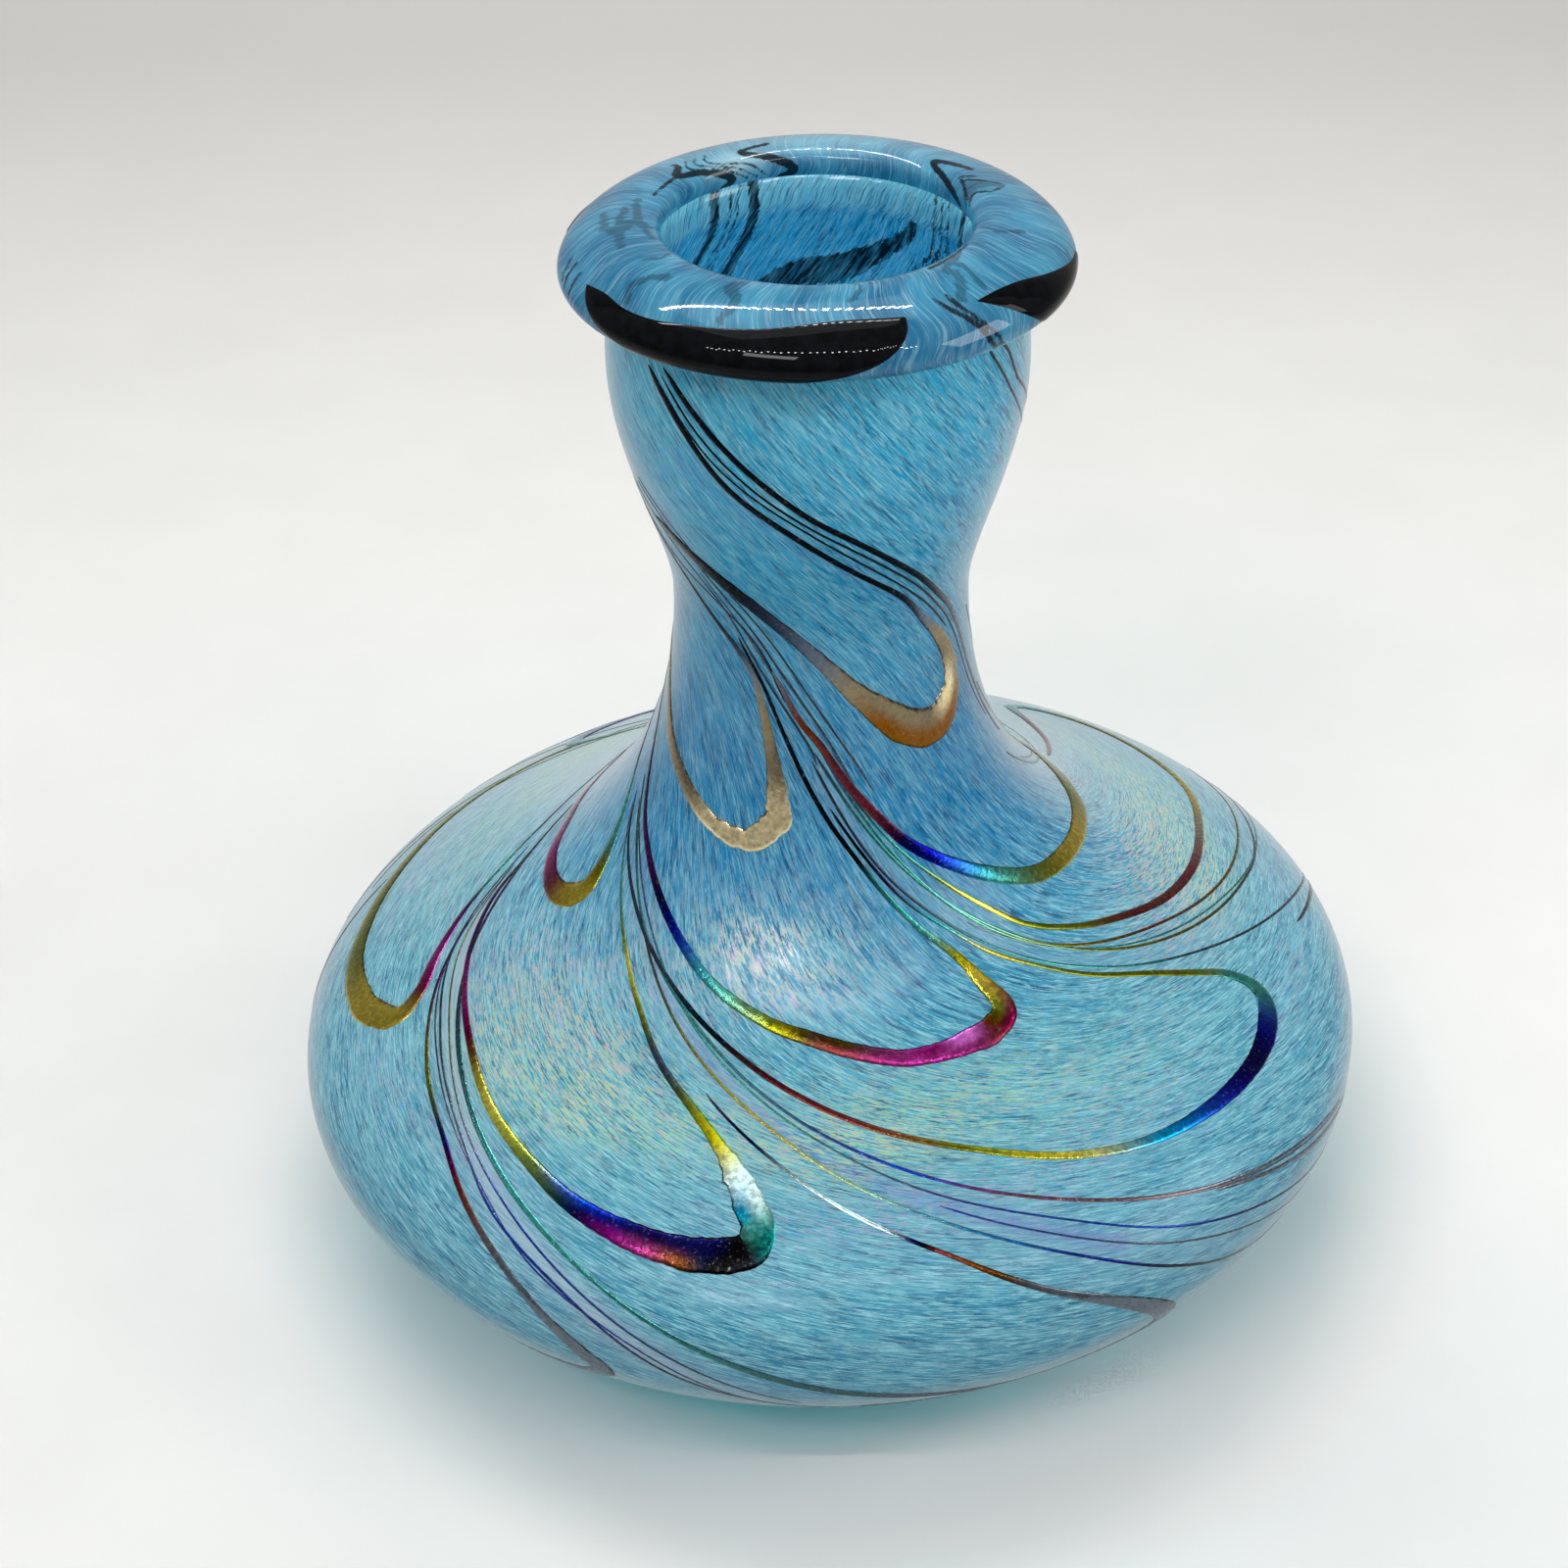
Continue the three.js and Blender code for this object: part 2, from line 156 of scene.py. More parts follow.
def smooth(values, samples):
    """A smooth curve through the rows of values, as `samples` rows."""
    values = np.asarray(values, float)
    ends = np.vstack([2 * values[0] - values[1], values, 2 * values[-1] - values[-2]])
    at = np.linspace(0, len(values) - 1, samples)
    i = np.minimum(at.astype(int), len(values) - 2)
    t = (at - i)[:, None]
    p0, p1, p2, p3 = ends[i], ends[i + 1], ends[i + 2], ends[i + 3]
    return 0.5 * (2 * p1 + (p2 - p0) * t + (2 * p0 - 5 * p1 + 4 * p2 - p3) * t**2
                  + (3 * p1 - p0 - 3 * p2 + p3) * t**3)


# ---- mesh helpers ----


def linear(rgb):
    """sRGB 0 to 255 to linear."""
    c = np.asarray(rgb, float) / 255
    return np.where(c <= 0.04045, c / 12.92, ((c + 0.055) / 1.055) ** 2.4)


def mesh_object(name, points, faces, material):
    mesh = bpy.data.meshes.new(name)
    mesh.from_pydata(np.asarray(points).reshape(-1, 3).tolist(), [], faces)
    mesh.validate()
    mesh.shade_smooth()
    mesh.materials.append(material)
    piece = bpy.data.objects.new(name, mesh)
    bpy.context.scene.collection.objects.link(piece)
    return piece


def store(piece, name, values, kind="FLOAT_VECTOR"):
    attribute = piece.data.attributes.new(name, kind, "POINT")
    key = {"FLOAT_VECTOR": "vector", "FLOAT_COLOR": "color", "FLOAT": "value"}[kind]
    attribute.data.foreach_set(key, np.asarray(values, np.float32).ravel())


def ring_faces(rings, around, closed=False):
    """Quads between rings of points that each close on themselves; closed joins the ends."""
    faces = []
    for ring in range(rings if closed else rings - 1):
        low, high = ring * around, (ring + 1) % rings * around
        for i in range(around):
            j = (i + 1) % around
            faces.append((low + i, low + j, high + j, high + i))
    return faces


def turned_shell(name, outline, up, around, material):
    """A closed shell turned from an outline that starts and ends on the axis, with each
    vertex's bearing and its share of up, the distance up the wall of each outline point."""
    outline = np.asarray(outline, float)
    bearing = np.arange(around) * 360.0 / around
    body = outline[1:-1]
    points = turned(body[:, 0][:, None], body[:, 1][:, None], bearing[None, :])
    points = points.reshape(-1, 3)
    ends = turned(outline[[0, -1], 0], outline[[0, -1], 1], np.zeros(2))
    faces = ring_faces(len(body), around)
    first, last = len(points), len(points) + 1
    top = (len(body) - 1) * around
    for i in range(around):
        j = (i + 1) % around
        faces.append((first, j, i))
        faces.append((last, top + i, top + j))
    piece = mesh_object(name, np.vstack([points, ends]), faces, material)
    bearing = np.r_[np.tile(bearing, len(body)), 0, 0]
    return piece, bearing, np.r_[np.repeat(up[1:-1], around), up[0], up[-1]]


# ---- materials ----


GLASS_IOR = 1.5
SHADOW_TINT = (160, 234, 236)
GRAIN_DEPTH = 0.2 * MM


def new_material(name):
    material = bpy.data.materials.new(name)
    material.use_nodes = True
    tree = material.node_tree
    tree.nodes.clear()
    output = tree.nodes.new("ShaderNodeOutputMaterial")
    shader = tree.nodes.new("ShaderNodeBsdfPrincipled")
    shader.inputs["IOR"].default_value = GLASS_IOR
    tree.links.new(shader.outputs[0], output.inputs["Surface"])
    return material, tree, shader, output


def set_inputs(node, values):
    for name, value in values.items():
        node.inputs[name].default_value = value


def feed(tree, socket, value):
    """Gives a socket a number, an sRGB colour or the output of another node."""
    if isinstance(value, (int, float)):
        socket.default_value = value
    elif isinstance(value, tuple):
        socket.default_value = (*linear(value), 1.0)
    else:
        tree.links.new(value, socket)


def attribute(tree, name):
    node = tree.nodes.new("ShaderNodeAttribute")
    node.attribute_name = name
    return node


def noise_texture(tree, place, scale, detail, roughness=0.5):
    texture = tree.nodes.new("ShaderNodeTexNoise")
    set_inputs(texture, {"Scale": scale, "Detail": detail, "Roughness": roughness})
    tree.links.new(place, texture.inputs["Vector"])
    return texture.outputs["Fac"]


def streaks(tree, across, along, detail=2.0, roughness=0.5, offset=0.0):
    """Noise drawn out along the swirl: features 1/across radians wide, `along` mm long."""
    mapping = tree.nodes.new("ShaderNodeMapping")
    scale = (across, across, 1.0 / along)
    set_inputs(mapping, {"Scale": scale, "Location": (offset, offset, offset)})
    tree.links.new(attribute(tree, "flow").outputs["Vector"], mapping.inputs["Vector"])
    return noise_texture(tree, mapping.outputs[0], 1.0, detail, roughness)


def speckle(tree, scale, detail):
    """Even noise in object space; scale is features per metre."""
    place = tree.nodes.new("ShaderNodeTexCoord")
    return noise_texture(tree, place.outputs["Object"], scale, detail)


def ramp(tree, value, low, high, low_value=0.0, high_value=1.0):
    node = tree.nodes.new("ShaderNodeMapRange")
    node.interpolation_type = "SMOOTHSTEP"
    set_inputs(node, {"From Min": low, "From Max": high})
    set_inputs(node, {"To Min": low_value, "To Max": high_value})
    tree.links.new(value, node.inputs["Value"])
    return node.outputs["Result"]


def calculate(tree, operation, *values):
    node = tree.nodes.new("ShaderNodeMath")
    node.operation = operation
    for socket, value in zip(node.inputs, values):
        feed(tree, socket, value)
    return node.outputs[0]


def multiply(tree, a, b):
    return calculate(tree, "MULTIPLY", a, b)


def mix(tree, factor, a, b):
    node = tree.nodes.new("ShaderNodeMix")
    node.data_type = "RGBA"
    for index, value in ((0, factor), (6, a), (7, b)):
        feed(tree, node.inputs[index], value)
    return node.outputs[2]


def bump(tree, shader, height, strength, distance):
    node = tree.nodes.new("ShaderNodeBump")
    set_inputs(node, {"Strength": strength, "Distance": distance})
    tree.links.new(height, node.inputs["Height"])
    tree.links.new(node.outputs[0], shader.inputs["Normal"])


def coat(tree, shader, color, roughness, specular=0.5):
    tree.links.new(color, shader.inputs["Base Color"])
    feed(tree, shader.inputs["Roughness"], roughness)
    shader.inputs["Specular IOR Level"].default_value = specular


def lay_over(tree, output, shader, share):
    """Mixes another shader into what the surface shows so far."""
    surface = output.inputs["Surface"]
    blend = tree.nodes.new("ShaderNodeMixShader")
    feed(tree, blend.inputs[0], share)
    tree.links.new(surface.links[0].from_socket, blend.inputs[1])
    tree.links.new(shader.outputs[0], blend.inputs[2])
    tree.links.new(blend.outputs[0], surface)


def let_light_through(tree, output, color, share):
    """Mixes in light that comes through the wall from behind."""
    back = tree.nodes.new("ShaderNodeBsdfTranslucent")
    tree.links.new(color, back.inputs["Color"])
    lay_over(tree, output, back, share)


def clear_shadow(tree, output):
    """Lets light through to the floor and the inside, tinted, as clear glass does."""
    path = tree.nodes.new("ShaderNodeLightPath")
    clear = tree.nodes.new("ShaderNodeBsdfTransparent")
    feed(tree, clear.inputs["Color"], SHADOW_TINT)
    lay_over(tree, output, clear, path.outputs["Is Shadow Ray"])


def painted_edge_reflection(tree, color, shade, share):
    """Paints reflected light: glass seen along its surface is made paler."""
    layer = tree.nodes.new("ShaderNodeLayerWeight")
    layer.inputs["Blend"].default_value = 0.35
    return mix(tree, ramp(tree, layer.outputs["Facing"], 0.35, 0.98, 0.0, share), color, shade)


def frit_color(tree):
    """Blue glass with white and deep blue frit drawn into streaks."""
    own = attribute(tree, "tint")
    tint, cover = own.outputs["Color"], own.outputs["Alpha"]
    light = mix(tree, 0.8, tint, (180, 238, 244))
    drift = ramp(tree, streaks(tree, 7, 26, 3.0), 0.35, 0.65)
    color = mix(tree, multiply(tree, multiply(tree, drift, 0.25), cover), tint, light)
    deep = ramp(tree, streaks(tree, 62, 4.5, 3.5, 0.65, 3.0), 0.46, 0.64)
    color = mix(tree, multiply(tree, deep, 0.9), color, mix(tree, 0.8, tint, (0, 56, 106)))
    broad = ramp(tree, streaks(tree, 34, 6.0, 3.0, 0.6, 11.0), 0.47, 0.70)
    color = mix(tree, multiply(tree, multiply(tree, broad, 0.5), cover), color, light)
    fine = ramp(tree, streaks(tree, 125, 2.6, 3.5, 0.72, 7.0), 0.50, 0.58)
    color = mix(tree, multiply(tree, fine, cover), color, light)
    return color, fine


def painted_iridescence(tree):
    """Colours of a thin luster's reflected light, painted as sheen colours and mottled along the
    streaks.
    """
    drift = streaks(tree, 42, 3.5, 3.0, 0.75, 21.0)
    ramp_node = tree.nodes.new("ShaderNodeValToRGB")
    stops = [(0.30, (150, 150, 226)), (0.40, (226, 170, 206)), (0.47, (232, 214, 150)),
             (0.54, (160, 224, 160)), (0.62, (120, 206, 226)), (0.72, (150, 140, 226))]
    elements = ramp_node.color_ramp.elements
    while len(elements) < len(stops):
        elements.new(0.5)
    for element, (at, color) in zip(elements, stops):
        element.position = at
        element.color = (*linear(color), 1.0)
    tree.links.new(drift, ramp_node.inputs[0])
    return ramp_node.outputs[0]


def casing_material():
    material, tree, shader, output = new_material("frit_glass")
    color, fine = frit_color(tree)
    # Painted sheens and highlights: reflected luster light laid into the skin's colour and broken
    # into flecks.
    painted_luster = attribute(tree, "painted_luster")
    painted_sparkle = ramp(tree, streaks(tree, 80, 1.8, 3.0, 0.75, 5.0), 0.45, 0.58)
    painted_sheen = mix(tree, 0.5, painted_luster.outputs["Color"], painted_iridescence(tree))
    band = attribute(tree, "band")
    drawn = ramp(tree, streaks(tree, 130, 14.0, 2.0, 0.6, 15.0), 0.35, 0.60, 0.35, 1.0)
    color = mix(tree, multiply(tree, band.outputs["Alpha"], drawn), color, band.outputs["Color"])
    color = mix(tree, multiply(tree, painted_luster.outputs["Alpha"], painted_sparkle), color, painted_sheen)
    # Painted reflection: paler colour where the glass is seen along its surface.
    color = painted_edge_reflection(tree, color, (212, 220, 222), 0.85)
    coat(tree, shader, color, ramp(tree, fine, 0, 1, 0.16, 0.26), 0.35)
    bump(tree, shader, fine, 0.5, GRAIN_DEPTH)
    let_light_through(tree, output, color, 0.25)
    clear_shadow(tree, output)
    return material


def lining_material():
    material, tree, shader, output = new_material("clear_glass")
    color, fine = frit_color(tree)
    smear = ramp(tree, streaks(tree, 34, 5.0, 3.0, 0.6, 13.0), 0.40, 0.62, 1.0, 0.6)
    color = mix(tree, multiply(tree, ink_mask(tree, "ink", 1.8, 6.0), smear), color, (3, 12, 24))
    coat(tree, shader, color, ramp(tree, fine, 0, 1, 0.04, 0.1))
    let_light_through(tree, output, color, 0.3)
    clear_shadow(tree, output)
    return material


def ink_mask(tree, name, wobble, seed):
    """One inside the painted lines of a distance attribute, with slightly feathered edges."""
    rough = streaks(tree, 40, 1.2, 3.0, 0.6, seed)
    away = attribute(tree, name).outputs["Fac"]
    away = calculate(tree, "MULTIPLY_ADD", rough, wobble, away)
    return ramp(tree, away, wobble / 2 - 0.12, wobble / 2 + 0.18, 1.0, 0.0)


def lip_material():
    """Thick clear blue glass, with the streaks and trails under it drawn out and wavy."""
    material, tree, shader, output = new_material("lip_glass")
    drift = ramp(tree, streaks(tree, 5, 9, 3.0), 0.35, 0.65)
    color = mix(tree, drift, (36, 108, 144), (70, 148, 178))
    deep = ramp(tree, streaks(tree, 40, 6, 3.0, 0.6, 9.0), 0.48, 0.70)
    color = mix(tree, multiply(tree, deep, 0.4), color, (14, 88, 130))
    pale = ramp(tree, streaks(tree, 80, 5, 3.5, 0.7, 4.0), 0.48, 0.68)
    color = mix(tree, multiply(tree, pale, 0.32), color, (182, 220, 228))
    white = ramp(tree, attribute(tree, "pale").outputs["Fac"], 0.0, 1.0, 0.0, 0.6)
    color = mix(tree, white, color, (184, 214, 218))
    color = mix(tree, multiply(tree, ink_mask(tree, "haze", 1.6, 2.0), 0.55), color, (14, 52, 72))
    color = mix(tree, multiply(tree, ink_mask(tree, "ink", 0.7, 6.0), 0.95), color, (2, 8, 16))
    coat(tree, shader, color, ramp(tree, pale, 0, 1, 0.02, 0.05))
    let_light_through(tree, output, color, 0.35)
    clear_shadow(tree, output)
    return material


def black_material():
    material, tree, shader, _ = new_material("black_glass")
    shade = ramp(tree, speckle(tree, 900, 3.0), 0.3, 0.7)
    color = mix(tree, shade, (1, 1, 2), (6, 8, 13))
    coat(tree, shader, color, ramp(tree, shade, 0, 1, 0.015, 0.035), 0.1)
    return material


def trail_material():
    """Black glass under a metallic luster: its colour runs along each trail, partly painted
    reflection and shade, with painted glints speckled over it.
    """
    material, tree, shader, _ = new_material("luster_glass")
    color = attribute(tree, "shade").outputs["Color"]
    grain = speckle(tree, 1500, 4.0)
    color = mix(tree, ramp(tree, grain, 0.30, 0.58, 0.3, 0.0), color, (8, 8, 20))
    # Painted glints: pale specks of reflected light.
    painted_glint = ramp(tree, speckle(tree, 2400, 3.0), 0.58, 0.74, 0.0, 0.1)
    color = mix(tree, painted_glint, color, (210, 214, 190))
    side = attribute(tree, "side").outputs["Fac"]
    rim = calculate(tree, "MULTIPLY_ADD", speckle(tree, 900, 3.0), 0.5, side)
    color = mix(tree, ramp(tree, rim, 0.98, 1.14, 0.0, 0.85), color, (6, 6, 10))
    coat(tree, shader, color, ramp(tree, grain, 0.3, 0.7, 0.14, 0.30), 0.2)
    shader.inputs["Metallic"].default_value = 0.9
    bump(tree, shader, grain, 0.2, GRAIN_DEPTH)
    return material


FRIT = casing_material()
LINING = lining_material()
LIP_GLASS = lip_material()
BLACK = black_material()
LUSTER = trail_material()

# ---- the layers of glass ----

# The skin's own blue at distances up the wall, and how thickly white frit covers it.
TINTS = [
    (0, (44, 126, 164), 0.7), (50, (44, 136, 168), 0.72), (75, (64, 150, 174), 0.76),
    (95, (40, 144, 178), 0.72), (112, (0, 130, 180), 0.42), (128, (0, 126, 178), 0.4),
    (145, (0, 140, 184), 0.52), (165, (0, 156, 198), 0.58), (185, (4, 162, 198), 0.58),
]
# The same inside the mouth, up to the paler glass that rolls over into the lip.
INNER_TINTS = [
    (0, (10, 120, 172), 0.6), (165, (0, 164, 214), 0.6), (183.4, (0, 166, 214), 0.6),
    (184.3, (0, 100, 164), 0.2), (185.2, (84, 174, 204), 0.6), (190, (98, 184, 208), 0.6),
]
# Painted sheens and highlights on the skin, the luster's reflected light laid in as colour (the
# white spots at the front stand for a lamp's highlight): bearing, distance, half-widths in degrees
# and mm, colour, strength.
PAINTED_SHEENS = [
    (-19, 105, 6, 3, (255, 250, 244), 1.0),
    (-13, 103.5, 7, 3, (255, 236, 244), 0.8),
    (-10, 101, 12, 4, (120, 148, 232), 0.6),
    (-4, 105, 20, 7, (216, 236, 246), 0.5),
    (-30, 101, 22, 9, (170, 196, 220), 0.5),
    (-60, 88, 20, 9, (164, 148, 196), 0.75),
    (-46, 84, 16, 7, (206, 202, 150), 0.8),
    (-40, 80, 20, 5, (150, 200, 176), 0.7),
    (-22, 82, 14, 5, (140, 190, 186), 0.5),
    (14, 84, 28, 6.5, (156, 204, 164), 0.7),
    (2, 80, 12, 4, (188, 208, 160), 0.6),
    (6, 71, 24, 4, (70, 124, 216), 0.7),
    (34, 72, 16, 4, (84, 130, 214), 0.5),
    (44, 78, 16, 6, (110, 182, 200), 0.5),
    (-66, 67, 12, 4, (60, 130, 206), 0.6),
    (-44, 68, 12, 3, (60, 120, 206), 0.6),
]
# Smooth bands drawn out between the threads: width in mm, colour, strength, then the route.
BANDS = [
    (1.0, (186, 204, 214), 0.85, [(-86, 86.5), (-67, 78), (-52, 72), (-41, 66), (-29, 60),
        (-16, 52), (-8, 47.5)]),
    (0.9, (100, 112, 190), 0.75, [(-57, 109), (-36, 98), (-16, 87), (0, 78.5), (16, 70), (30, 61)]),
    (2.6, (134, 172, 194), 0.5, [(-70, 113), (-42, 100.5), (-20, 90), (-10, 85)]),
    (3.0, (140, 168, 190), 0.5, [(-90, 88.5), (-66, 77.5), (-46, 68), (-28, 59), (-4, 47),
        (10, 42)]),
    (2.4, (132, 174, 196), 0.5, [(-2, 126), (22, 112), (44, 98), (68, 86), (84, 77)]),
    (3.4, (136, 170, 190), 0.5, [(16, 69), (32, 59), (54, 50.5), (70, 46)]),
    (2.2, (60, 130, 190), 0.4, [(-40, 170), (4, 157.5), (50, 142)]),
]
# Trails seen in the clear lip, dark ones and hazy ones: (bearing, section angle, width).
LIP_INK = [
    [(-156, 262, 1.6), (-161, 240, 1.6), (-168, 218, 1.6), (-172.5, 200, 1.5), (-168.5, 180, 1.5),
     (-161, 162.5, 1.3), (-154, 147.5, 0.9), (-156, 140, 0.6), (-165, 133, 0.6)],
    [(-137, 262, 1.5), (-140, 240, 1.5), (-144, 218, 1.5), (-147.5, 200, 1.4), (-141, 177.5, 1.3),
     (-134, 162.5, 1.2), (-125, 147.5, 1.1), (-130, 132, 0.9), (-131, 122, 0.7)],
    [(-125, 147.5, 0.5), (-116, 148, 0.5), (-107, 147, 0.4)],
    [(-162, 205, 0.3), (-155, 175, 0.3), (-145, 160, 0.3), (-140, 145, 0.3), (-143, 125, 0.2)],
    [(-158, 205, 0.3), (-150, 178, 0.3), (-141, 160, 0.3), (-136, 143, 0.3), (-139, 125, 0.2)],
    [(-154, 205, 0.3), (-146, 178, 0.3), (-138, 163, 0.3), (-132, 145, 0.3), (-135, 125, 0.2)],
    [(109, 262, 1.3), (108, 235, 1.3), (110, 200, 1.2), (114, 187.5, 1.2), (122.5, 170, 1.1),
     (131, 155, 0.9), (134, 142.5, 1.0), (127.5, 132.5, 0.9), (121, 125, 0.7)],
    [(100, 178, 0.5), (104, 155, 0.5), (102.5, 130, 0.4), (107.5, 107.5, 0.3)],
    [(104, 172, 0.4), (111, 162, 0.4), (115, 150, 0.4), (111, 130, 0.3), (107.5, 110, 0.3)],
    [(102, 190, 0.4), (108, 168, 0.4), (113, 158, 0.4), (118, 150, 0.4), (115, 132, 0.3)],
    [(37, 140, 0.6), (48, 147, 0.7), (60, 152.5, 0.5)],
    [(29, 90, 0.3), (31, 77.5, 0.5), (35.5, 50, 0.5), (38, 20, 0.5), (40, -5, 0.5)],
    [(33, 90, 0.3), (34, 77.5, 0.4), (39, 35, 0.4), (42, -5, 0.4)],
    [(-80, 55, 0.4), (-77, 25, 0.4)],
    [(-76, 57, 0.4), (-74, 15, 0.4)],
    [(-71, 55, 0.4), (-70, 15, 0.4)],
    [(-107, 55, 0.8), (-104, 20, 0.8), (-98, -10, 0.6)],
    [(168, 66, 1.5), (176, 62, 1.2), (184, 60, 0.6)],
]
LIP_HAZE = [
    [(-24, 135, 1.2), (-26, 120, 1.2), (-22.5, 100, 1.2), (-24, 75, 0.8)],
    [(-46, 107.5, 0.9), (-50, 97.5, 0.9), (-52.5, 82.5, 0.9), (-50, 62.5, 0.7)],
    [(-58, 150, 0.5), (-56, 130, 0.5), (-59, 112, 0.4)],
    [(-81, 152, 1.2), (-85, 130, 1.4), (-80, 115, 1.2), (-86, 95, 0.9)],
    [(-102, 130, 0.8), (-88, 138, 1.0), (-72, 148, 0.8)],
    [(-96, 120, 0.7), (-82, 112, 0.9), (-70, 106, 0.6)],
    [(-95, 95, 0.6), (-84, 100, 0.7), (-76, 112, 0.6)],
    [(36, 80, 1.0), (41, 110, 1.2), (40, 125, 1.0), (52.5, 145, 0.8)],
    [(44, 84, 0.6), (45, 105, 0.8), (46, 125, 0.6)],
    [(106, 165, 2.0), (110, 150, 2.6), (108, 125, 2.0)],
    [(10, 150, 0.6), (12, 130, 0.6), (8, 105, 0.6)],
    [(75, 150, 0.6), (72, 125, 0.7), (76, 100, 0.5)],
    [(-120, 70, 0.8), (-112, 60, 0.8), (-108, 45, 0.6)],
]
# Trails seen through the lining inside the mouth: (bearing, distance up the wall, width).
INNER_INK = [
    [(138, 184, 1.0), (143, 182, 1.6), (152, 179.6, 2.2), (161, 177.4, 2.8), (172, 175.2, 4.2),
     (184, 174.6, 4.0), (194, 173.5, 3.2), (206, 170, 2.6), (220, 163, 2.0)],
    [(203, 190, 1.6), (204, 183, 1.6), (208, 179, 1.6), (212, 176, 1.6), (218, 170, 1.5)],
    [(220, 190, 1.5), (222, 183, 1.5), (227, 179, 1.5), (232, 174, 1.4)],
    [(208, 190, 0.3), (212, 183, 0.3), (218, 178, 0.3), (224, 173, 0.3)],
    [(212, 190, 0.3), (215, 183, 0.3), (221, 178, 0.3), (227, 173, 0.3)],
    [(120, 190, 0.4), (122, 183, 0.5), (132, 179, 0.5), (144, 176, 0.4), (156, 171, 0.4)],
    [(124, 190, 0.4), (126, 183, 0.4), (136, 178.5, 0.4), (148, 174.5, 0.4), (160, 169, 0.4)],
    [(128, 190, 0.4), (130, 183, 0.4), (140, 178, 0.4), (152, 173, 0.4), (163, 168, 0.4)],
    [(108, 190, 1.3), (112, 184, 1.2), (120, 178, 0.9), (130, 172, 0.6)],
]


# mm to a degree of bearing and of section angle on the lip, and to one of bearing inside.
LIP_ROUND_MM, LIP_OVER_MM, INNER_ROUND_MM = 0.41, 0.085, 0.36
# The painted sheens and highlights on the shoulder come three times round it, turned by these.
PAINTED_SHEEN_TURNS = (0, 144, 216)


def painted(bearing, place, lines, mm_per_degree, mm_per_place, reach=3.0):
    """Signed distance in mm from each vertex to the edge of the nearest painted line."""
    nearest = np.full(len(bearing), reach)
    for line in lines:
        for at, level, width in smooth(line, 24 * len(line)):
            away = np.hypot(((bearing - at + 180) % 360 - 180) * mm_per_degree,
                            (place - level) * mm_per_place) - width / 2
            np.minimum(nearest, away, out=nearest)
    return nearest


def add_skin_attributes(piece, bearing, distance, tints=TINTS):
    """Stores what the frit material reads: swirl coordinates, own blue and painted sheens and
    highlights.
    """
    store(piece, "flow", flow(bearing, distance))
    stops, colors, covers = zip(*tints)
    columns = np.c_[linear(colors), covers]
    tint = np.stack([np.interp(distance, stops, column) for column in columns.T], -1)
    store(piece, "tint", tint, "FLOAT_COLOR")
    total = np.zeros(len(distance))
    blended = np.zeros((len(distance), 3))
    for repeat in PAINTED_SHEEN_TURNS:
        for centre, height, wide, high, color, strength in PAINTED_SHEENS:
            across = (bearing - centre - repeat + 180) % 360 - 180
            weight = strength * np.exp(-((across / wide) ** 2) - ((distance - height) / high) ** 2)
            total += weight
            blended += weight[:, None] * linear(color)
    blended /= np.maximum(total, 1e-6)[:, None]
    store(piece, "painted_luster", np.c_[blended, np.clip(total, 0, 1)], "FLOAT_COLOR")


def add_bands(piece, bearing, distance):
    colors = np.zeros((len(distance), 3))
    total = np.zeros(len(distance))
    for width, color, strength, route in BANDS:
        line = [(*spot, 0) for spot in route]
        away = painted(bearing, distance, [line], 1.0, 1.0, 2.5 * width)
        weight = strength * np.exp(-((away / width) ** 2)) * (away < 2.4 * width)
        total += weight
        colors += weight[:, None] * linear(color)
    colors /= np.maximum(total, 1e-6)[:, None]
    store(piece, "band", np.c_[colors, np.clip(total, 0, 0.9)], "FLOAT_COLOR")


def casing():
    distance = np.linspace(0, WALL_LENGTH, 300)
    outside = np.c_[wall_offset(distance, 0)]
    outside[0] = (FOOT_RADIUS, 0)
    inside_distance = np.linspace(WALL_LENGTH, 0, 60)
    inside = np.c_[wall_offset(inside_distance, -CASING_THICKNESS)]
    keep = inside[:, 1] > FOOT_THICKNESS + GLASS_GAP
    inside, inside_distance = inside[keep], inside_distance[keep]
    foot = [(0, PONTIL_DEPTH), (5, 0.9 * PONTIL_DEPTH), (9, 0.45 * PONTIL_DEPTH),
            (PONTIL_RADIUS, 0), (20, 0)]
    floor = [(inside[-1, 0] - 4, FOOT_THICKNESS), (0, FOOT_THICKNESS)]
    outline = np.vstack([foot, outside, inside, floor])
    up = np.r_[[-FOOT_RADIUS, -22, -18, -15, -7], distance, inside_distance, -4, -30]
    piece, bearing, up = turned_shell("casing_skin", outline, up, 480, FRIT)
    add_skin_attributes(piece, bearing, up)
    add_bands(piece, bearing, up)
    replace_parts(piece, "color_casing")
    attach(piece, "root")


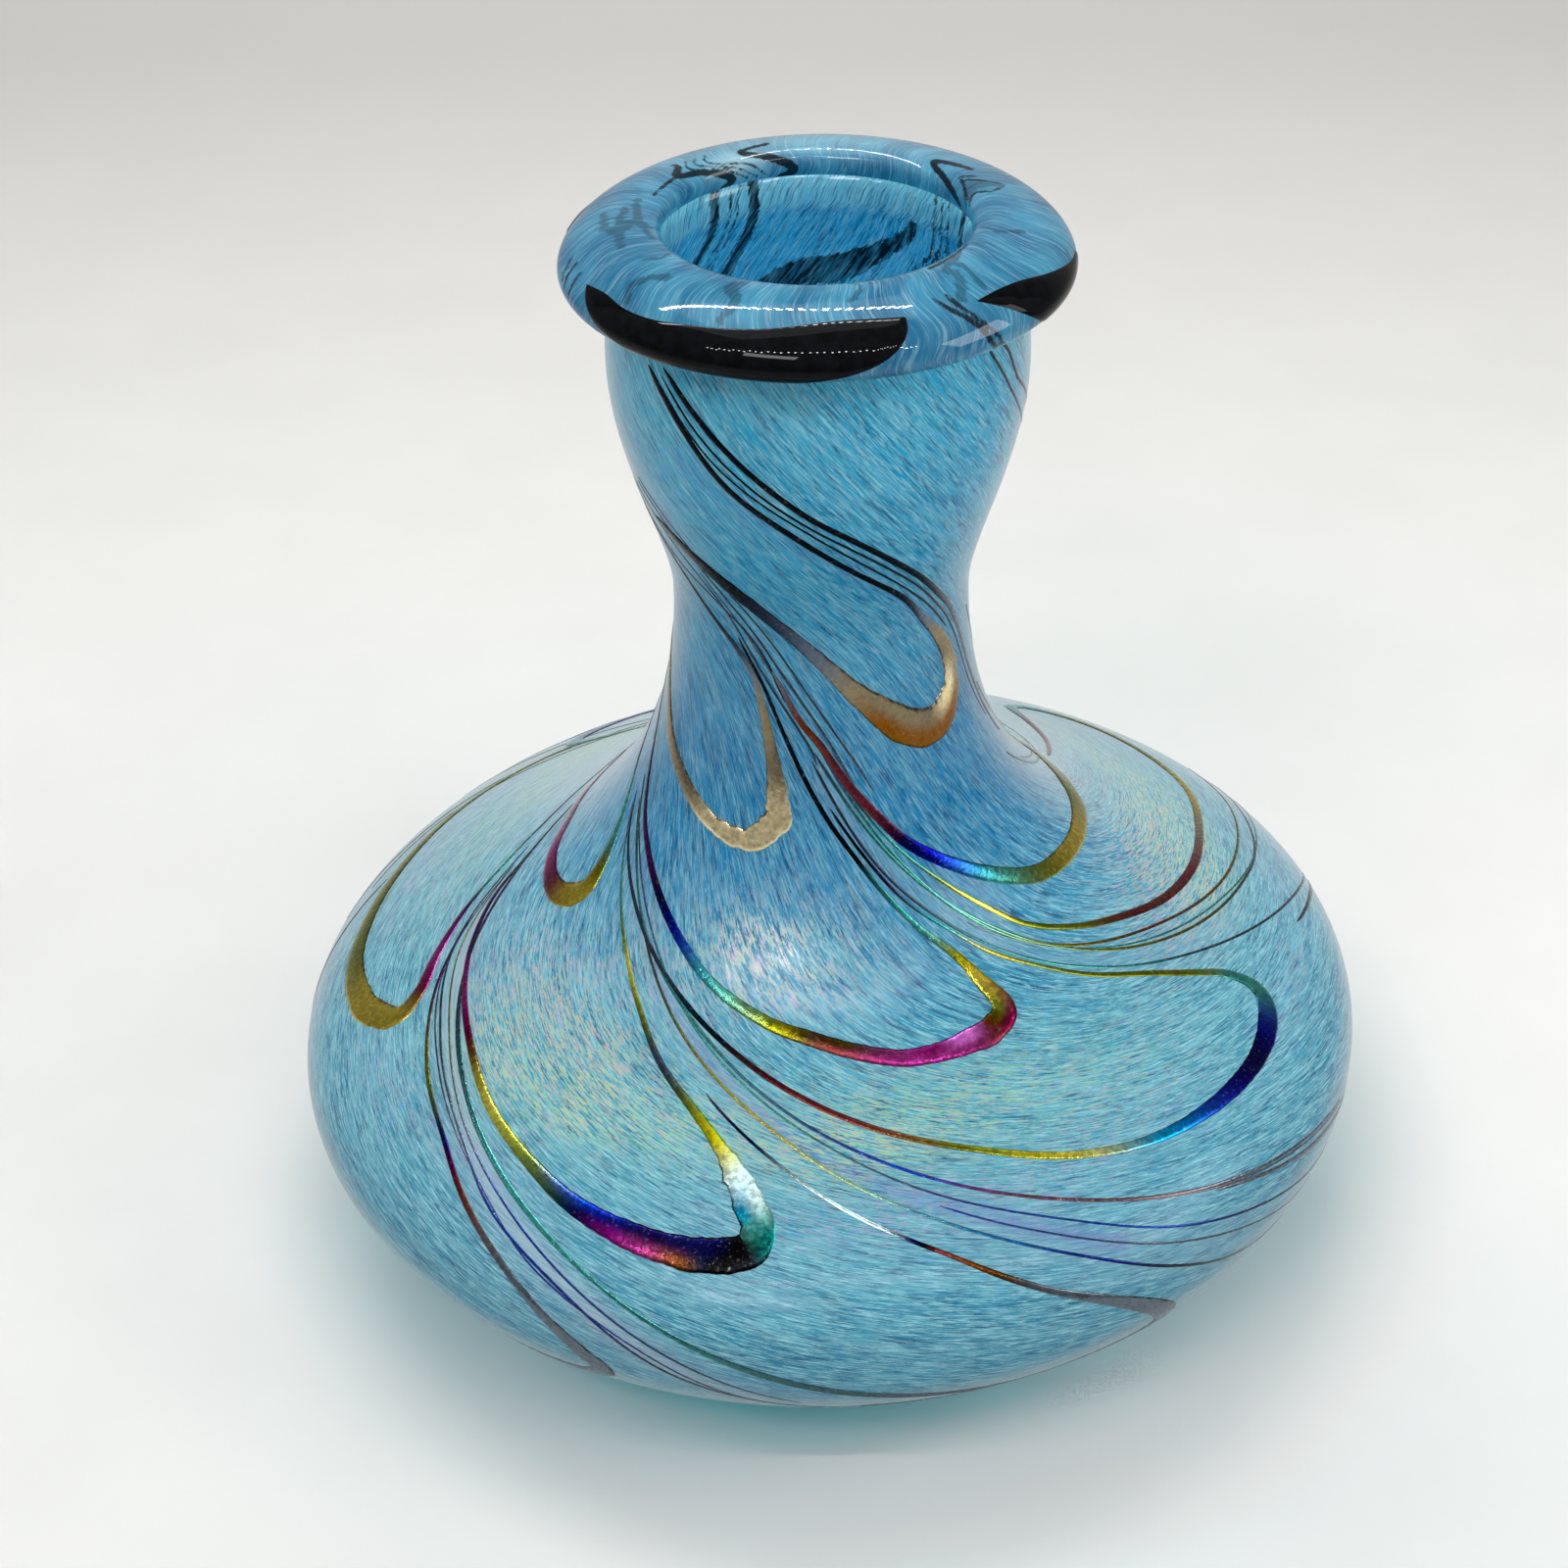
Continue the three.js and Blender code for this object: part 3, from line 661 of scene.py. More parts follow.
def lining():
    gap = CASING_THICKNESS + GLASS_GAP
    outside_distance = np.linspace(0, WALL_LENGTH, 60)
    outside = np.c_[wall_offset(outside_distance, -gap)]
    keep = outside[:, 1] > FOOT_THICKNESS + 1
    outside, outside_distance = outside[keep], outside_distance[keep]
    inside_distance = np.linspace(WALL_LENGTH, 0, 200)
    # The lining thickens under the lip, so that the mouth's edge runs on into the neck.
    thicker = 2.4 * np.clip((inside_distance - 172) / 12, 0, 1) ** 2
    inside = np.c_[wall_offset(inside_distance, -gap - GATHER_THICKNESS - thicker)]
    keep = inside[:, 1] > FLOOR_Z + 0.5
    inside, inside_distance = inside[keep], inside_distance[keep]
    # Its rim reaches up into the lip.
    rim = [(20.5, 134.6), (19.0, 135.4), (18.2, 135.2), (18.05, 133.5), (18.0, 132.0)]
    inside = np.vstack([rim, inside])
    inside_distance = np.r_[190, 190, 189, 187, 186, inside_distance]
    under = FOOT_THICKNESS + GLASS_GAP
    outline = np.vstack([[(0, under), (outside[0, 0] - 4, under)], outside, inside,
                         [(inside[-1, 0] - 8, FLOOR_Z), (0, FLOOR_Z)]])
    up = np.r_[-30, -4, outside_distance, inside_distance, -8, -30]
    piece, bearing, up = turned_shell("lining", outline, up, 240, LINING)
    add_skin_attributes(piece, bearing, up, INNER_TINTS)
    store(piece, "ink", painted(bearing, up, INNER_INK, INNER_ROUND_MM, 1.0), "FLOAT")
    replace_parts(piece, "clear_gather")
    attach(piece, "root")


def lip_section(angle, offset=0.0):
    """Radius and height on the lip; angle 0 is its outer edge, a quarter turn its top."""
    across = (LIP_HALF_WIDTH + offset) * np.cos(angle)
    up = (LIP_HALF_HEIGHT + offset) * np.sin(angle)
    return (
        LIP_RADIUS + across * math.cos(LIP_DROOP) + up * math.sin(LIP_DROOP),
        LIP_Z - across * math.sin(LIP_DROOP) + up * math.cos(LIP_DROOP),
    )


def lip():
    around, sides = 480, 96
    bearing = np.arange(around) * 360.0 / around
    angle = np.arange(sides) * 2 * math.pi / sides
    # Drawn in a touch, to stay inside the faceted lip of the CAD.
    r, z = lip_section(angle, -0.02)
    points = turned(r[:, None], z[:, None], bearing[None, :])
    piece = mesh_object("lip", points, ring_faces(sides, around, closed=True), LIP_GLASS)
    bearing = np.tile(bearing, sides)
    degrees = (np.degrees(np.repeat(angle, around)) + 90) % 360 - 90
    wave = 1.2 * np.sin(np.radians(degrees * 4 + 60)) + 0.8 * np.sin(np.radians(bearing * 7))
    turn = np.radians(bearing + wave)
    store(piece, "flow", np.c_[np.cos(turn), np.sin(turn), degrees * LIP_OVER_MM])
    for name, lines in (("ink", LIP_INK), ("haze", LIP_HAZE)):
        store(piece, name, painted(bearing, degrees, lines, LIP_ROUND_MM, LIP_OVER_MM), "FLOAT")
    # Paler at the back left and, less so, all along the back.
    across = (bearing + 150 + 180) % 360 - 180
    pale = np.exp(-((across / 14) ** 2) - ((degrees - 165) / 38) ** 2)
    behind = 180 - np.abs((bearing + 180) % 360 - 180)
    pale = np.maximum(pale, 0.6 * np.exp(-((behind / 60) ** 2) - ((degrees - 120) / 60) ** 2))
    store(piece, "pale", pale, "FLOAT")
    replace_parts(piece, "rolled_lip")
    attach(piece, "root")


# ---- glass laid on a surface ----


def strip(name, place, length_steps, width_steps, material):
    """A closed, domed strip: place(along, across, height) gives points from values 0 to 1."""
    along = np.linspace(0, 1, length_steps + 1)
    across = np.linspace(0, 1, width_steps + 1)
    a, c = np.meshgrid(along, across, indexing="ij")
    top = place(a, c, np.ones_like(a))
    bottom = place(a[:, [0, -1]], c[:, [0, -1]], np.zeros_like(a[:, [0, -1]]))
    rows = np.concatenate([top, bottom[:, ::-1]], axis=1)
    sides = rows.shape[1]
    faces = []
    for i in range(length_steps):
        for j in range(sides):
            k = (j + 1) % sides
            faces.append((i * sides + j, (i + 1) * sides + j, (i + 1) * sides + k, i * sides + k))
    faces.append(tuple(range(sides)))
    faces.append(tuple(reversed(range(length_steps * sides, (length_steps + 1) * sides))))
    return mesh_object(name, rows, faces, material), sides


# Black patches: section angles of the lower and upper edge from one end to the other, and
# bearings of the two ends from the lower to the upper edge.
LIP_PATCHES = {
    "lip_patch_front": (
        [-42, -48, -52, -50, -44, -38],
        [55, 61, 57, 58.5, 64, 68, 73, 79, 84, 83, 79],
        [-36, -44, -52, -58, -63, -67],
        [-8, -3, 5, 12, 17, 20, 21],
    ),
    "lip_patch_right": (
        [-40, -48, -50, -46, -30], [75, 77, 73, 62, 50, 38, 30],
        [58, 57, 54, 50, 45, 38], [84, 88, 90, 86],
    ),
    "lip_patch_left": ([-20, -26, -22], [46, 52, 40], [-113, -114, -115], [-104, -103, -101]),
    "lip_patch_back_left": (
        [-30, -34, -30], [50, 62, 64, 52], [-162, -164, -165], [-142, -140, -143],
    ),
    "lip_patch_back_right": (
        [-30, -34, -30], [38, 48, 50, 40], [123, 121, 122], [147, 150, 151],
    ),
}


def table(values, at):
    """Smoothly reads evenly spaced values at shares from 0 to 1."""
    dense = smooth(np.array(values, float)[:, None], 200)[:, 0]
    return np.interp(at, np.linspace(0, 1, 200), dense)


def lip_patch(node, lower, upper, start, end):
    def place(along, across, height):
        bearing = table(start, across) + (table(end, across) - table(start, across)) * along
        angle = table(lower, along) + (table(upper, along) - table(lower, along)) * across
        edge = np.minimum(np.minimum(along, 1 - along) * 16, np.minimum(across, 1 - across) * 8)
        proud = -0.1 + 0.22 * np.sqrt(np.clip(edge, 0, 1))
        r, z = lip_section(np.radians(angle), np.where(height > 0.5, proud, -0.5))
        return turned(r, z, bearing)

    piece, _ = strip(node.replace("lip_", "") + "_glass", place, 120, 32, BLACK)
    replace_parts(piece, node)
    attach(piece, "root")


# Luster colours, sRGB. Along the trails they mix the luster's own colours with painted light: the
# bright, saturated ones stand partly for painted reflections of the lamps, and the greys of the
# lowest loops partly for painted shade.
INK, SMOKE, SLATE = (6, 8, 16), (48, 58, 74), (96, 106, 116)
TAUPE, SAND, AMBER = (136, 124, 98), (236, 218, 170), (128, 80, 18)
OLIVE, GOLD, YELLOW = (106, 112, 24), (178, 160, 52), (196, 190, 72)
MAROON, MAGENTA, PINK = (108, 36, 50), (138, 34, 108), (232, 120, 224)
NAVY, COBALT, PLUM = (6, 6, 70), (12, 52, 150), (58, 20, 78)
TEAL, CYAN, ICE = (64, 152, 144), (40, 140, 176), (206, 236, 232)
LIME, RUST, ROSE, UMBER = (110, 128, 56), (104, 48, 34), (150, 104, 130), (70, 46, 20)

# Each trail: (bearing, distance up the wall, width, colour) along its centre line.
TRAILS = {
    "trail_loop_neck_front": [(-62, 158, 1.5, INK), (-48, 155, 1.9, INK), (-32, 151, 2.1, INK),
        (-18, 147, 1.9, SMOKE), (-2, 142, 1.9, SLATE), (10, 137.7, 2.3, TAUPE),
        (22, 133.8, 3.0, TAUPE, AMBER), (33, 130.8, 3.7, TAUPE, AMBER),
        (44, 129.9, 3.9, TAUPE, AMBER), (53, 131.6, 3.4, SAND, AMBER),
        (57, 134.5, 2.8, SAND, TAUPE), (55, 138, 2.3, TAUPE), (49, 141.5, 1.8, TAUPE),
        (40, 145, 1.2, SLATE), (28, 150, 0.9, INK), (9, 156, 0.9, INK), (-10, 162.5, 1.0, INK),
        (-26, 168, 1.0, INK), (-38, 174, 1.0, INK), (-51, 180.5, 1.0, INK)],
    "trail_loop_neck_left": [(-98, 136, 1.6, SLATE), (-85, 131, 1.9, TAUPE), (-69, 125, 2.0, TAUPE),
        (-50, 120.5, 2.0, TAUPE), (-40, 118.5, 2.0, SAND), (-30, 117.5, 2.2, SAND),
        (-22, 118, 2.6, SAND), (-16.5, 120.5, 2.9, SAND), (-16, 122.5, 2.6, SAND),
        (-18, 126.5, 2.0, TAUPE), (-21, 131, 1.6, TAUPE), (-24, 135, 1.2, TAUPE),
        (-28, 139, 1.0, SLATE), (-35, 142, 0.9, SMOKE), (-48, 146, 0.8, INK),
        (-62, 151.5, 0.7, INK), (-80, 158, 0.6, INK)],
    "trail_loop_shoulder_left": [(-120, 105, 1.2, PLUM), (-108, 101, 1.6, ROSE),
        (-98, 99.5, 1.8, ROSE), (-89, 97.5, 2.0, MAGENTA), (-79, 97, 2.4, MAROON),
        (-72, 98.5, 2.8, GOLD), (-69, 101, 2.6, GOLD), (-70, 104.5, 2.0, OLIVE),
        (-74, 109, 1.5, TEAL), (-81, 113.5, 1.1, TEAL), (-89, 117, 0.9, SMOKE),
        (-100, 122, 0.7, INK), (-116, 129, 0.6, INK)],
    "trail_loop_shoulder_front": [(-98, 130, 0.7, INK), (-85, 124, 0.8, INK), (-76, 119, 0.9, INK),
        (-66, 114, 1.0, PLUM), (-55, 110, 1.2, PLUM), (-45, 106.5, 1.3, NAVY),
        (-35, 103, 1.4, COBALT), (-25, 99.5, 1.5, TEAL), (-12, 96, 1.7, OLIVE),
        (-4, 94.4, 1.9, UMBER), (3, 92.8, 2.0, UMBER, MAROON), (12, 91, 2.1, MAGENTA),
        (19, 90.8, 2.3, MAGENTA), (23.5, 91, 2.6, PINK, MAGENTA), (28.5, 91.4, 2.8, MAROON),
        (33, 93.5, 2.6, OLIVE, MAROON), (31, 98, 1.9, GOLD), (28, 102, 1.3, OLIVE),
        (21, 107, 0.9, TEAL), (9, 115.5, 0.7, INK), (1, 120.5, 0.7, INK), (-8, 126.5, 0.7, INK),
        (-17, 133, 0.6, INK), (-24, 138, 0.6, INK), (-34, 143.5, 0.5, INK)],
    "trail_loop_shoulder_right": [(-20, 140, 0.7, SLATE), (-10, 134, 0.9, RUST),
        (-2, 130.5, 1.1, RUST), (6, 126, 1.2, MAROON), (15, 121.5, 1.3, MAROON),
        (24, 117, 1.6, NAVY), (36, 112.5, 1.8, COBALT), (49, 108, 2.1, TEAL),
        (61, 104.5, 2.2, LIME), (74, 102.5, 2.3, GOLD), (86, 101, 2.4, GOLD), (99, 100, 2.6, OLIVE),
        (112, 100.5, 2.8, OLIVE), (118, 102, 2.4, OLIVE), (119, 105, 2.0, OLIVE),
        (114, 109.5, 1.6, LIME), (106, 114, 1.2, TEAL), (97, 119, 0.9, TEAL), (88, 124, 0.8, SLATE),
        (80, 129, 0.7, SLATE)],
    "trail_loop_body_left": [(-142, 74, 1.2, LIME), (-130, 70, 1.6, LIME), (-120, 68, 1.8, LIME),
        (-110, 67, 2.0, OLIVE), (-100, 66, 2.2, OLIVE), (-90, 65.5, 2.6, OLIVE),
        (-81, 67, 3.0, GOLD), (-76, 69.5, 3.0, GOLD), (-74, 72, 2.6, GOLD),
        (-76, 75.5, 2.0, MAROON), (-81, 78.5, 1.6, MAGENTA), (-89, 83.5, 1.1, PLUM),
        (-96, 88.5, 0.9, TEAL), (-105, 94, 0.8, SMOKE), (-115, 99, 0.7, SMOKE),
        (-128, 106, 0.6, INK)],
    "trail_loop_body_front": [(-105, 99, 0.6, SMOKE), (-95, 93, 0.8, SMOKE), (-88, 88, 0.9, PLUM),
        (-79, 84, 1.0, PLUM), (-70, 81, 1.0, MAGENTA), (-60, 78, 1.2, RUST),
        (-50, 74.5, 1.4, YELLOW), (-40, 71.5, 1.7, LIME), (-31, 68.8, 2.2, COBALT, NAVY),
        (-22.5, 67.2, 2.8, NAVY, MAGENTA), (-18.5, 66.8, 3.0, NAVY, RUST),
        (-15, 66.7, 3.3, NAVY, INK), (-10, 67.8, 3.4, INK), (-9.2, 70.8, 3.1, TEAL),
        (-10.6, 73.4, 3.0, CYAN, ICE), (-12.4, 76.4, 2.7, ICE), (-15.5, 79.8, 1.8, YELLOW),
        (-21, 84, 1.3, OLIVE), (-29, 88.5, 1.0, SMOKE), (-37, 93.5, 0.8, OLIVE),
        (-45, 98, 0.7, YELLOW), (-50, 100.5, 0.6, LIME), (-62, 106.5, 0.5, TEAL),
        (-74, 113, 0.5, SMOKE)],
    "trail_loop_body_right": [(-76, 114.5, 0.5, SMOKE), (-66, 109.5, 0.6, SMOKE),
        (-42, 101, 0.7, SMOKE), (-20, 93, 0.8, INK), (5, 83, 0.9, RUST), (18, 78, 1.0, OLIVE),
        (30, 73, 1.2, YELLOW), (40, 70, 1.5, CYAN), (50, 68.5, 1.9, COBALT), (60, 68, 2.2, NAVY),
        (67, 69, 2.5, COBALT), (71, 71.5, 2.3, TEAL), (71, 75.5, 1.7, TEAL), (68, 79.5, 1.3, LIME),
        (61, 85.5, 1.0, OLIVE), (52, 91, 0.8, OLIVE), (44, 96, 0.7, LIME), (36, 100.5, 0.6, GOLD),
        (29, 105, 0.5, TEAL), (20, 110, 0.5, SMOKE), (11, 116, 0.5, INK), (1, 122.5, 0.4, INK)],
    "trail_loop_body_far_right": [(-1, 130, 0.4, SMOKE), (10, 123, 0.4, SMOKE),
        (21, 116.5, 0.5, TEAL), (32, 110.7, 0.6, LIME), (41, 105.5, 0.8, YELLOW),
        (48, 101, 0.9, OLIVE), (58, 96.5, 1.0, OLIVE), (69, 92, 1.2, RUST), (80, 87, 1.4, RUST),
        (92, 82, 1.5, MAROON), (105, 77, 1.5, TAUPE), (117, 72, 1.5, GOLD), (128, 69.8, 1.7, OLIVE),
        (139, 69, 2.0, OLIVE), (147, 71, 2.4, TEAL), (149, 75, 2.0, TEAL), (143, 81, 1.4, PLUM),
        (132, 89, 1.0, MAROON), (121, 97, 0.8, SMOKE)],
    "trail_loop_low_left": [(-86, 84.5, 0.5, SMOKE), (-75, 78, 0.6, PLUM), (-62, 72, 0.7, OLIVE),
        (-52, 68, 0.8, NAVY), (-44, 63.5, 0.9, RUST), (-36, 59, 1.1, SLATE), (-30, 55, 1.5, SLATE),
        (-26, 51.5, 2.2, SLATE), (-24, 48.5, 2.6, SLATE), (-27, 45.5, 2.4, SLATE),
        (-36, 43.5, 2.0, SMOKE), (-50, 43.5, 1.5, SMOKE), (-66, 46, 1.0, INK)],
    "trail_loop_low_front": [(-20, 86.3, 0.4, SMOKE), (-9, 79.5, 0.5, SMOKE), (2, 72.2, 0.6, ICE),
        (8, 68.4, 0.7, NAVY), (12, 65.8, 0.7, RUST), (17, 62, 0.9, UMBER), (21.5, 58.8, 1.0, SLATE),
        (26, 56, 1.4, SLATE), (30.5, 52.8, 1.9, SLATE), (33.8, 49.5, 2.5, SLATE),
        (34.8, 46.4, 2.8, SLATE), (32.5, 43.8, 2.6, SLATE), (26, 42, 2.2, SLATE),
        (16, 41.5, 1.5, SMOKE), (2, 43.5, 1.1, INK)],
}

# The same loop repeated round the back, from the bend of the loop:
# (bearing, distance, width as a share of the bend's).
LOOP_SHAPE = [
    (-76, 17, 0.2), (-62, 11, 0.26), (-48, 6, 0.4), (-34, 1.5, 0.65), (-14, -3.5, 0.95),
    (-4, -2.5, 1.0), (0, 0, 1.0), (-2, 5, 0.7), (-13, 15, 0.35), (-26, 24, 0.2),
]
REPEATED_LOOPS = {
    "trail_loop_neck_back_right": (140, 124, 0.55, 1.0, (SMOKE, TAUPE, SAND, SAND, INK)),
    "trail_loop_neck_back_left": (-158, 127, 0.55, 1.0, (INK, SLATE, TAUPE, AMBER, SMOKE)),
    "trail_loop_shoulder_back": (-168, 100, 0.7, 1.0, (INK, MAROON, MAGENTA, OLIVE, TEAL)),
    "trail_loop_shoulder_back_left": (-130, 103, 0.5, 0.8, (SMOKE, TEAL, LIME, GOLD, NAVY)),
    "trail_loop_body_back": (-142, 72, 0.9, 1.0, (PLUM, OLIVE, COBALT, TEAL, LIME)),
    "trail_loop_low_right": (112, 47, 0.9, 0.8, (SLATE, SLATE, SLATE, SLATE, SMOKE)),
    "trail_loop_low_back": (-150, 47, 1.0, 0.8, (INK, SLATE, SLATE, SMOKE, SMOKE)),
    "trail_loop_low_back_left": (-86, 46, 0.8, 0.8, (INK, SMOKE, SLATE, SLATE, SMOKE)),
}

# Fine threads drawn out along the bundles: width, colours along them and the route, as
# (bearing, distance). Those in FINER_THREADS are in this model only, not in the CAD.
THREADS = {
    "trail_thread_neck": (0.95, (INK, INK, INK, SLATE, SMOKE), [(-45, 181), (-33, 176),
        (-19, 170.5), (-4, 165), (9, 161), (21, 157), (34, 152.5), (46, 148), (57, 144), (66, 139),
        (74, 132), (82, 125), (90, 119)]),
    "trail_thread_neck_right": (0.6, (INK, SMOKE, SMOKE), [(50, 184), (59, 180), (65, 175.5),
        (75, 171.5), (90, 165.5), (106, 158)]),
    "trail_thread_front": (0.5, (SMOKE, TEAL, SMOKE, COBALT, RUST, SLATE, SLATE), [(-76, 117),
        (-50, 104.5), (-25, 94), (-1, 82), (9, 77), (19, 72), (36, 64), (48, 59.5), (68, 53.5)]),
    "trail_thread_right": (0.5, (SMOKE, TEAL, OLIVE, SMOKE, SLATE), [(-4, 129.5), (18, 116),
        (39, 103.5), (61, 90.5), (90, 75.5), (104, 68), (128, 58)]),
    "trail_thread_left": (0.6, (SMOKE, SMOKE, TEAL, SMOKE, SLATE), [(-100, 96), (-79, 84.5),
        (-58, 75.5), (-36, 66), (-12, 55), (12, 46), (30, 41)]),
}
FINER_THREADS = {
    "thread_neck_a": (0.4, (INK, INK, SMOKE, SMOKE), [(-46, 180), (-33, 174), (-19, 168.5),
        (-4, 163.5), (9, 159.5), (21, 155.5), (34, 151), (46, 146.5), (56, 142.5), (64, 137.5),
        (71, 131), (80, 124)]),
    "thread_neck_b": (0.35, (INK, INK, SMOKE), [(-48, 179.5), (-28, 170.5), (-4, 162.5), (21, 154),
        (44, 146), (55, 141.5)]),
    "thread_neck_right_a": (0.5, (INK, SMOKE, SMOKE), [(46, 184), (54, 179), (68, 171), (92, 162)]),
    "thread_waist": (0.45, (SMOKE, SMOKE, INK), [(-80, 160), (-62, 153), (-45, 149), (-31, 145),
        (-22, 141), (-15, 136)]),
    "thread_waist_b": (0.4, (INK, SMOKE, SMOKE, SMOKE), [(-72, 161), (-58, 155.5), (-42, 149),
        (-29, 142), (-8, 131.5), (-3, 128)]),
    "thread_waist_c": (0.4, (INK, SMOKE, SMOKE, SLATE), [(-68, 162), (-54, 157), (-22, 142.5),
        (1, 131), (14, 121)]),
    "thread_waist_d": (0.35, (INK, SMOKE, SMOKE, SLATE), [(-66, 163), (-52, 158), (-17, 142.5),
        (7, 130), (16, 124)]),
    "thread_waist_e": (0.3, (SMOKE, SLATE, SMOKE), [(-46, 152), (-20, 139.5), (2, 128.5),
        (10, 123.5)]),
    "thread_right_a": (0.45, (SMOKE, SMOKE, TEAL, SMOKE, SLATE), [(-5, 128.5), (14, 115),
        (28, 106.5), (43, 97.5), (57, 89.5), (74, 79.5), (94, 65.5), (110, 53)]),
    "thread_right_b": (0.5, (SMOKE, TEAL, OLIVE, RUST, OLIVE, SLATE), [(-2, 130), (20, 115.5),
        (39, 103), (52, 96), (74, 86.5), (97, 74.5), (114, 66), (126, 62)]),
    "thread_right_c": (0.35, (SLATE, TEAL, SLATE), [(34, 105), (50, 96.5), (63, 90), (86, 78.5),
        (106, 66.5), (124, 57)]),
    "thread_front_a": (0.45, (SMOKE, SMOKE, OLIVE, GOLD, TEAL, COBALT, INK, SLATE, SLATE), [
        (-72, 114.5), (-48, 103.5), (-28, 93), (-11, 84), (2, 76), (12, 70), (24, 62.5), (35, 55.5),
        (46, 50), (64, 44)]),
    "thread_front_b": (0.35, (SMOKE, TEAL, SMOKE, COBALT, SMOKE, SLATE), [(-66, 112.5), (-42, 102),
        (-21, 91.5), (-4, 82.5), (11, 74), (24, 67), (36, 60), (48, 55), (64, 49.5), (76, 47)]),
    "thread_front_c": (0.3, (COBALT, SMOKE, SLATE, SLATE), [(12, 72), (22, 66), (33, 59.5),
        (44, 54.5), (58, 49), (70, 46)]),
    "thread_left_a": (0.35, (SMOKE, OLIVE, SLATE, COBALT, SMOKE, SLATE), [(-94, 90.5), (-80, 82.5),
        (-64, 76.5), (-49, 70), (-38, 65), (-26, 59), (-12, 51.5), (-4, 47)]),
    "thread_left_b": (0.45, (SMOKE, SMOKE, SLATE, COBALT, SMOKE, SLATE), [(-98, 92.5), (-82, 82),
        (-65, 75.5), (-50, 69.5), (-40, 64), (-28, 58.5), (-15, 50.5), (2, 42)]),
}

# More threads beside those: the thread that each follows, how far its far end has moved in
# bearing and in distance, and its width.
SHIFTED_THREADS = {
    "thread_front_d": ("trail_thread_front", 1.5, -0.9, 0.3),
    "thread_left_c": ("trail_thread_left", 5, -2.4, 0.35),
    "thread_left_d": ("trail_thread_left", 9, -4.4, 0.4),
    "thread_low_a": ("thread_left_b", 9, -4.6, 0.3),
}
# The same threads again round the back: the thread each copies and how far it is turned.
BACK_THREADS = {
    "thread_back_a": ("trail_thread_right", 128),
    "thread_back_b": ("thread_right_a", 130),
    "thread_back_c": ("thread_right_b", 127),
    "thread_back_d": ("trail_thread_front", 160),
    "thread_back_e": ("thread_front_b", 161),
    "thread_back_f": ("trail_thread_left", -110),
    "thread_back_g": ("thread_left_b", -109),
    "thread_back_neck_a": ("trail_thread_neck", 165),
    "thread_back_neck_b": ("thread_neck_a", 166),
}


WIDTH_STEPS = 8
LENGTH_STEP = 0.4


def ragged(spots, size, seed):
    """Smooth noise from -1 to 1 along a trail, with bumps `size` mm long."""
    return np.array([noise.noise(Vector((s / size, seed, 0.5))) for s in spots])


def trail(name, route, colors, outer=None):
    """A trail along route, rows of (bearing, distance, width). Its colors are linear, one for
    each row, and outer holds those along the outside of a loop where they differ."""
    dense = smooth(np.c_[route, colors, colors if outer is None else outer], 1200)
    thick = np.clip((dense[:, 2] - 1.5) / 1.6, 0, 1)
    dense[:, 2] *= 1 + 0.42 * thick
    track = on_wall(dense[:, 0], dense[:, 1], 0) / MM
    travelled = np.r_[0, np.cumsum(np.linalg.norm(np.diff(track, axis=0), axis=1))]
    steps = int(travelled[-1] / LENGTH_STEP)
    even = np.linspace(0, travelled[-1], steps + 1)
    rows = np.stack([np.interp(even, travelled, dense[:, k]) for k in range(9)], -1)
    bearing, distance, width = rows[:, 0], rows[:, 1], rows[:, 2]
    per_mm = np.degrees(1 / wall_at(distance)[0])
    forward = np.c_[np.gradient(bearing) / per_mm, np.gradient(distance)]
    forward /= np.linalg.norm(forward, axis=1)[:, None]
    seed = sum(map(ord, name))
    bright = np.clip(rows[:, 4] - 0.3, 0, 0.5)
    rough = np.clip(width / 2.5, 0, 1) * (0.07 + 0.5 * bright)
    left = width / 2 * (1 + rough * ragged(even, 0.9, seed))
    right = width / 2 * (1 + rough * ragged(even, 0.7, seed + 3.3))
    ends = np.sqrt(np.clip(np.minimum(even, travelled[-1] - even) / 2.0, 0.05, 1))
    rise = 0.07 + 0.05 * np.clip(width, 0, 2.6)

    def place(along, across, height):
        i = np.rint(along * steps).astype(int)
        side = 2 * across - 1
        aside = np.where(side < 0, side * left[i], side * right[i]) * ends[i]
        dome = rise[i] * np.sqrt(np.clip(1 - side**2, 0, 1)) - 0.04
        level = np.where(height > 0.5, dome, -0.3)
        return on_wall(bearing[i] - forward[i, 1] * aside * per_mm[i],
                       distance[i] + forward[i, 0] * aside, level)

    piece, sides = strip(name + "_glass", place, steps, WIDTH_STEPS, LUSTER)
    across = np.r_[np.linspace(-1, 1, WIDTH_STEPS + 1), 1, -1]
    inner = np.clip(0.5 + 1.6 * across, 0, 1)[None, :, None]
    shades = rows[:, None, 3:6] * inner + rows[:, None, 6:9] * (1 - inner)
    shades = np.clip(shades, 0, 1).reshape(-1, 3)
    store(piece, "shade", np.c_[shades, np.ones(len(shades))], "FLOAT_COLOR")
    store(piece, "side", np.tile(across, len(rows)), "FLOAT")
    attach(piece, "root")
    return piece


def plain_trail(name, route, palette):
    """A trail with the colours of a palette spread evenly along it."""
    shades = linear(palette)
    at = np.linspace(0, len(palette) - 1, len(route))
    colors = [np.interp(at, np.arange(len(palette)), shades[:, k]) for k in range(3)]
    return trail(name, route, np.stack(colors, -1))


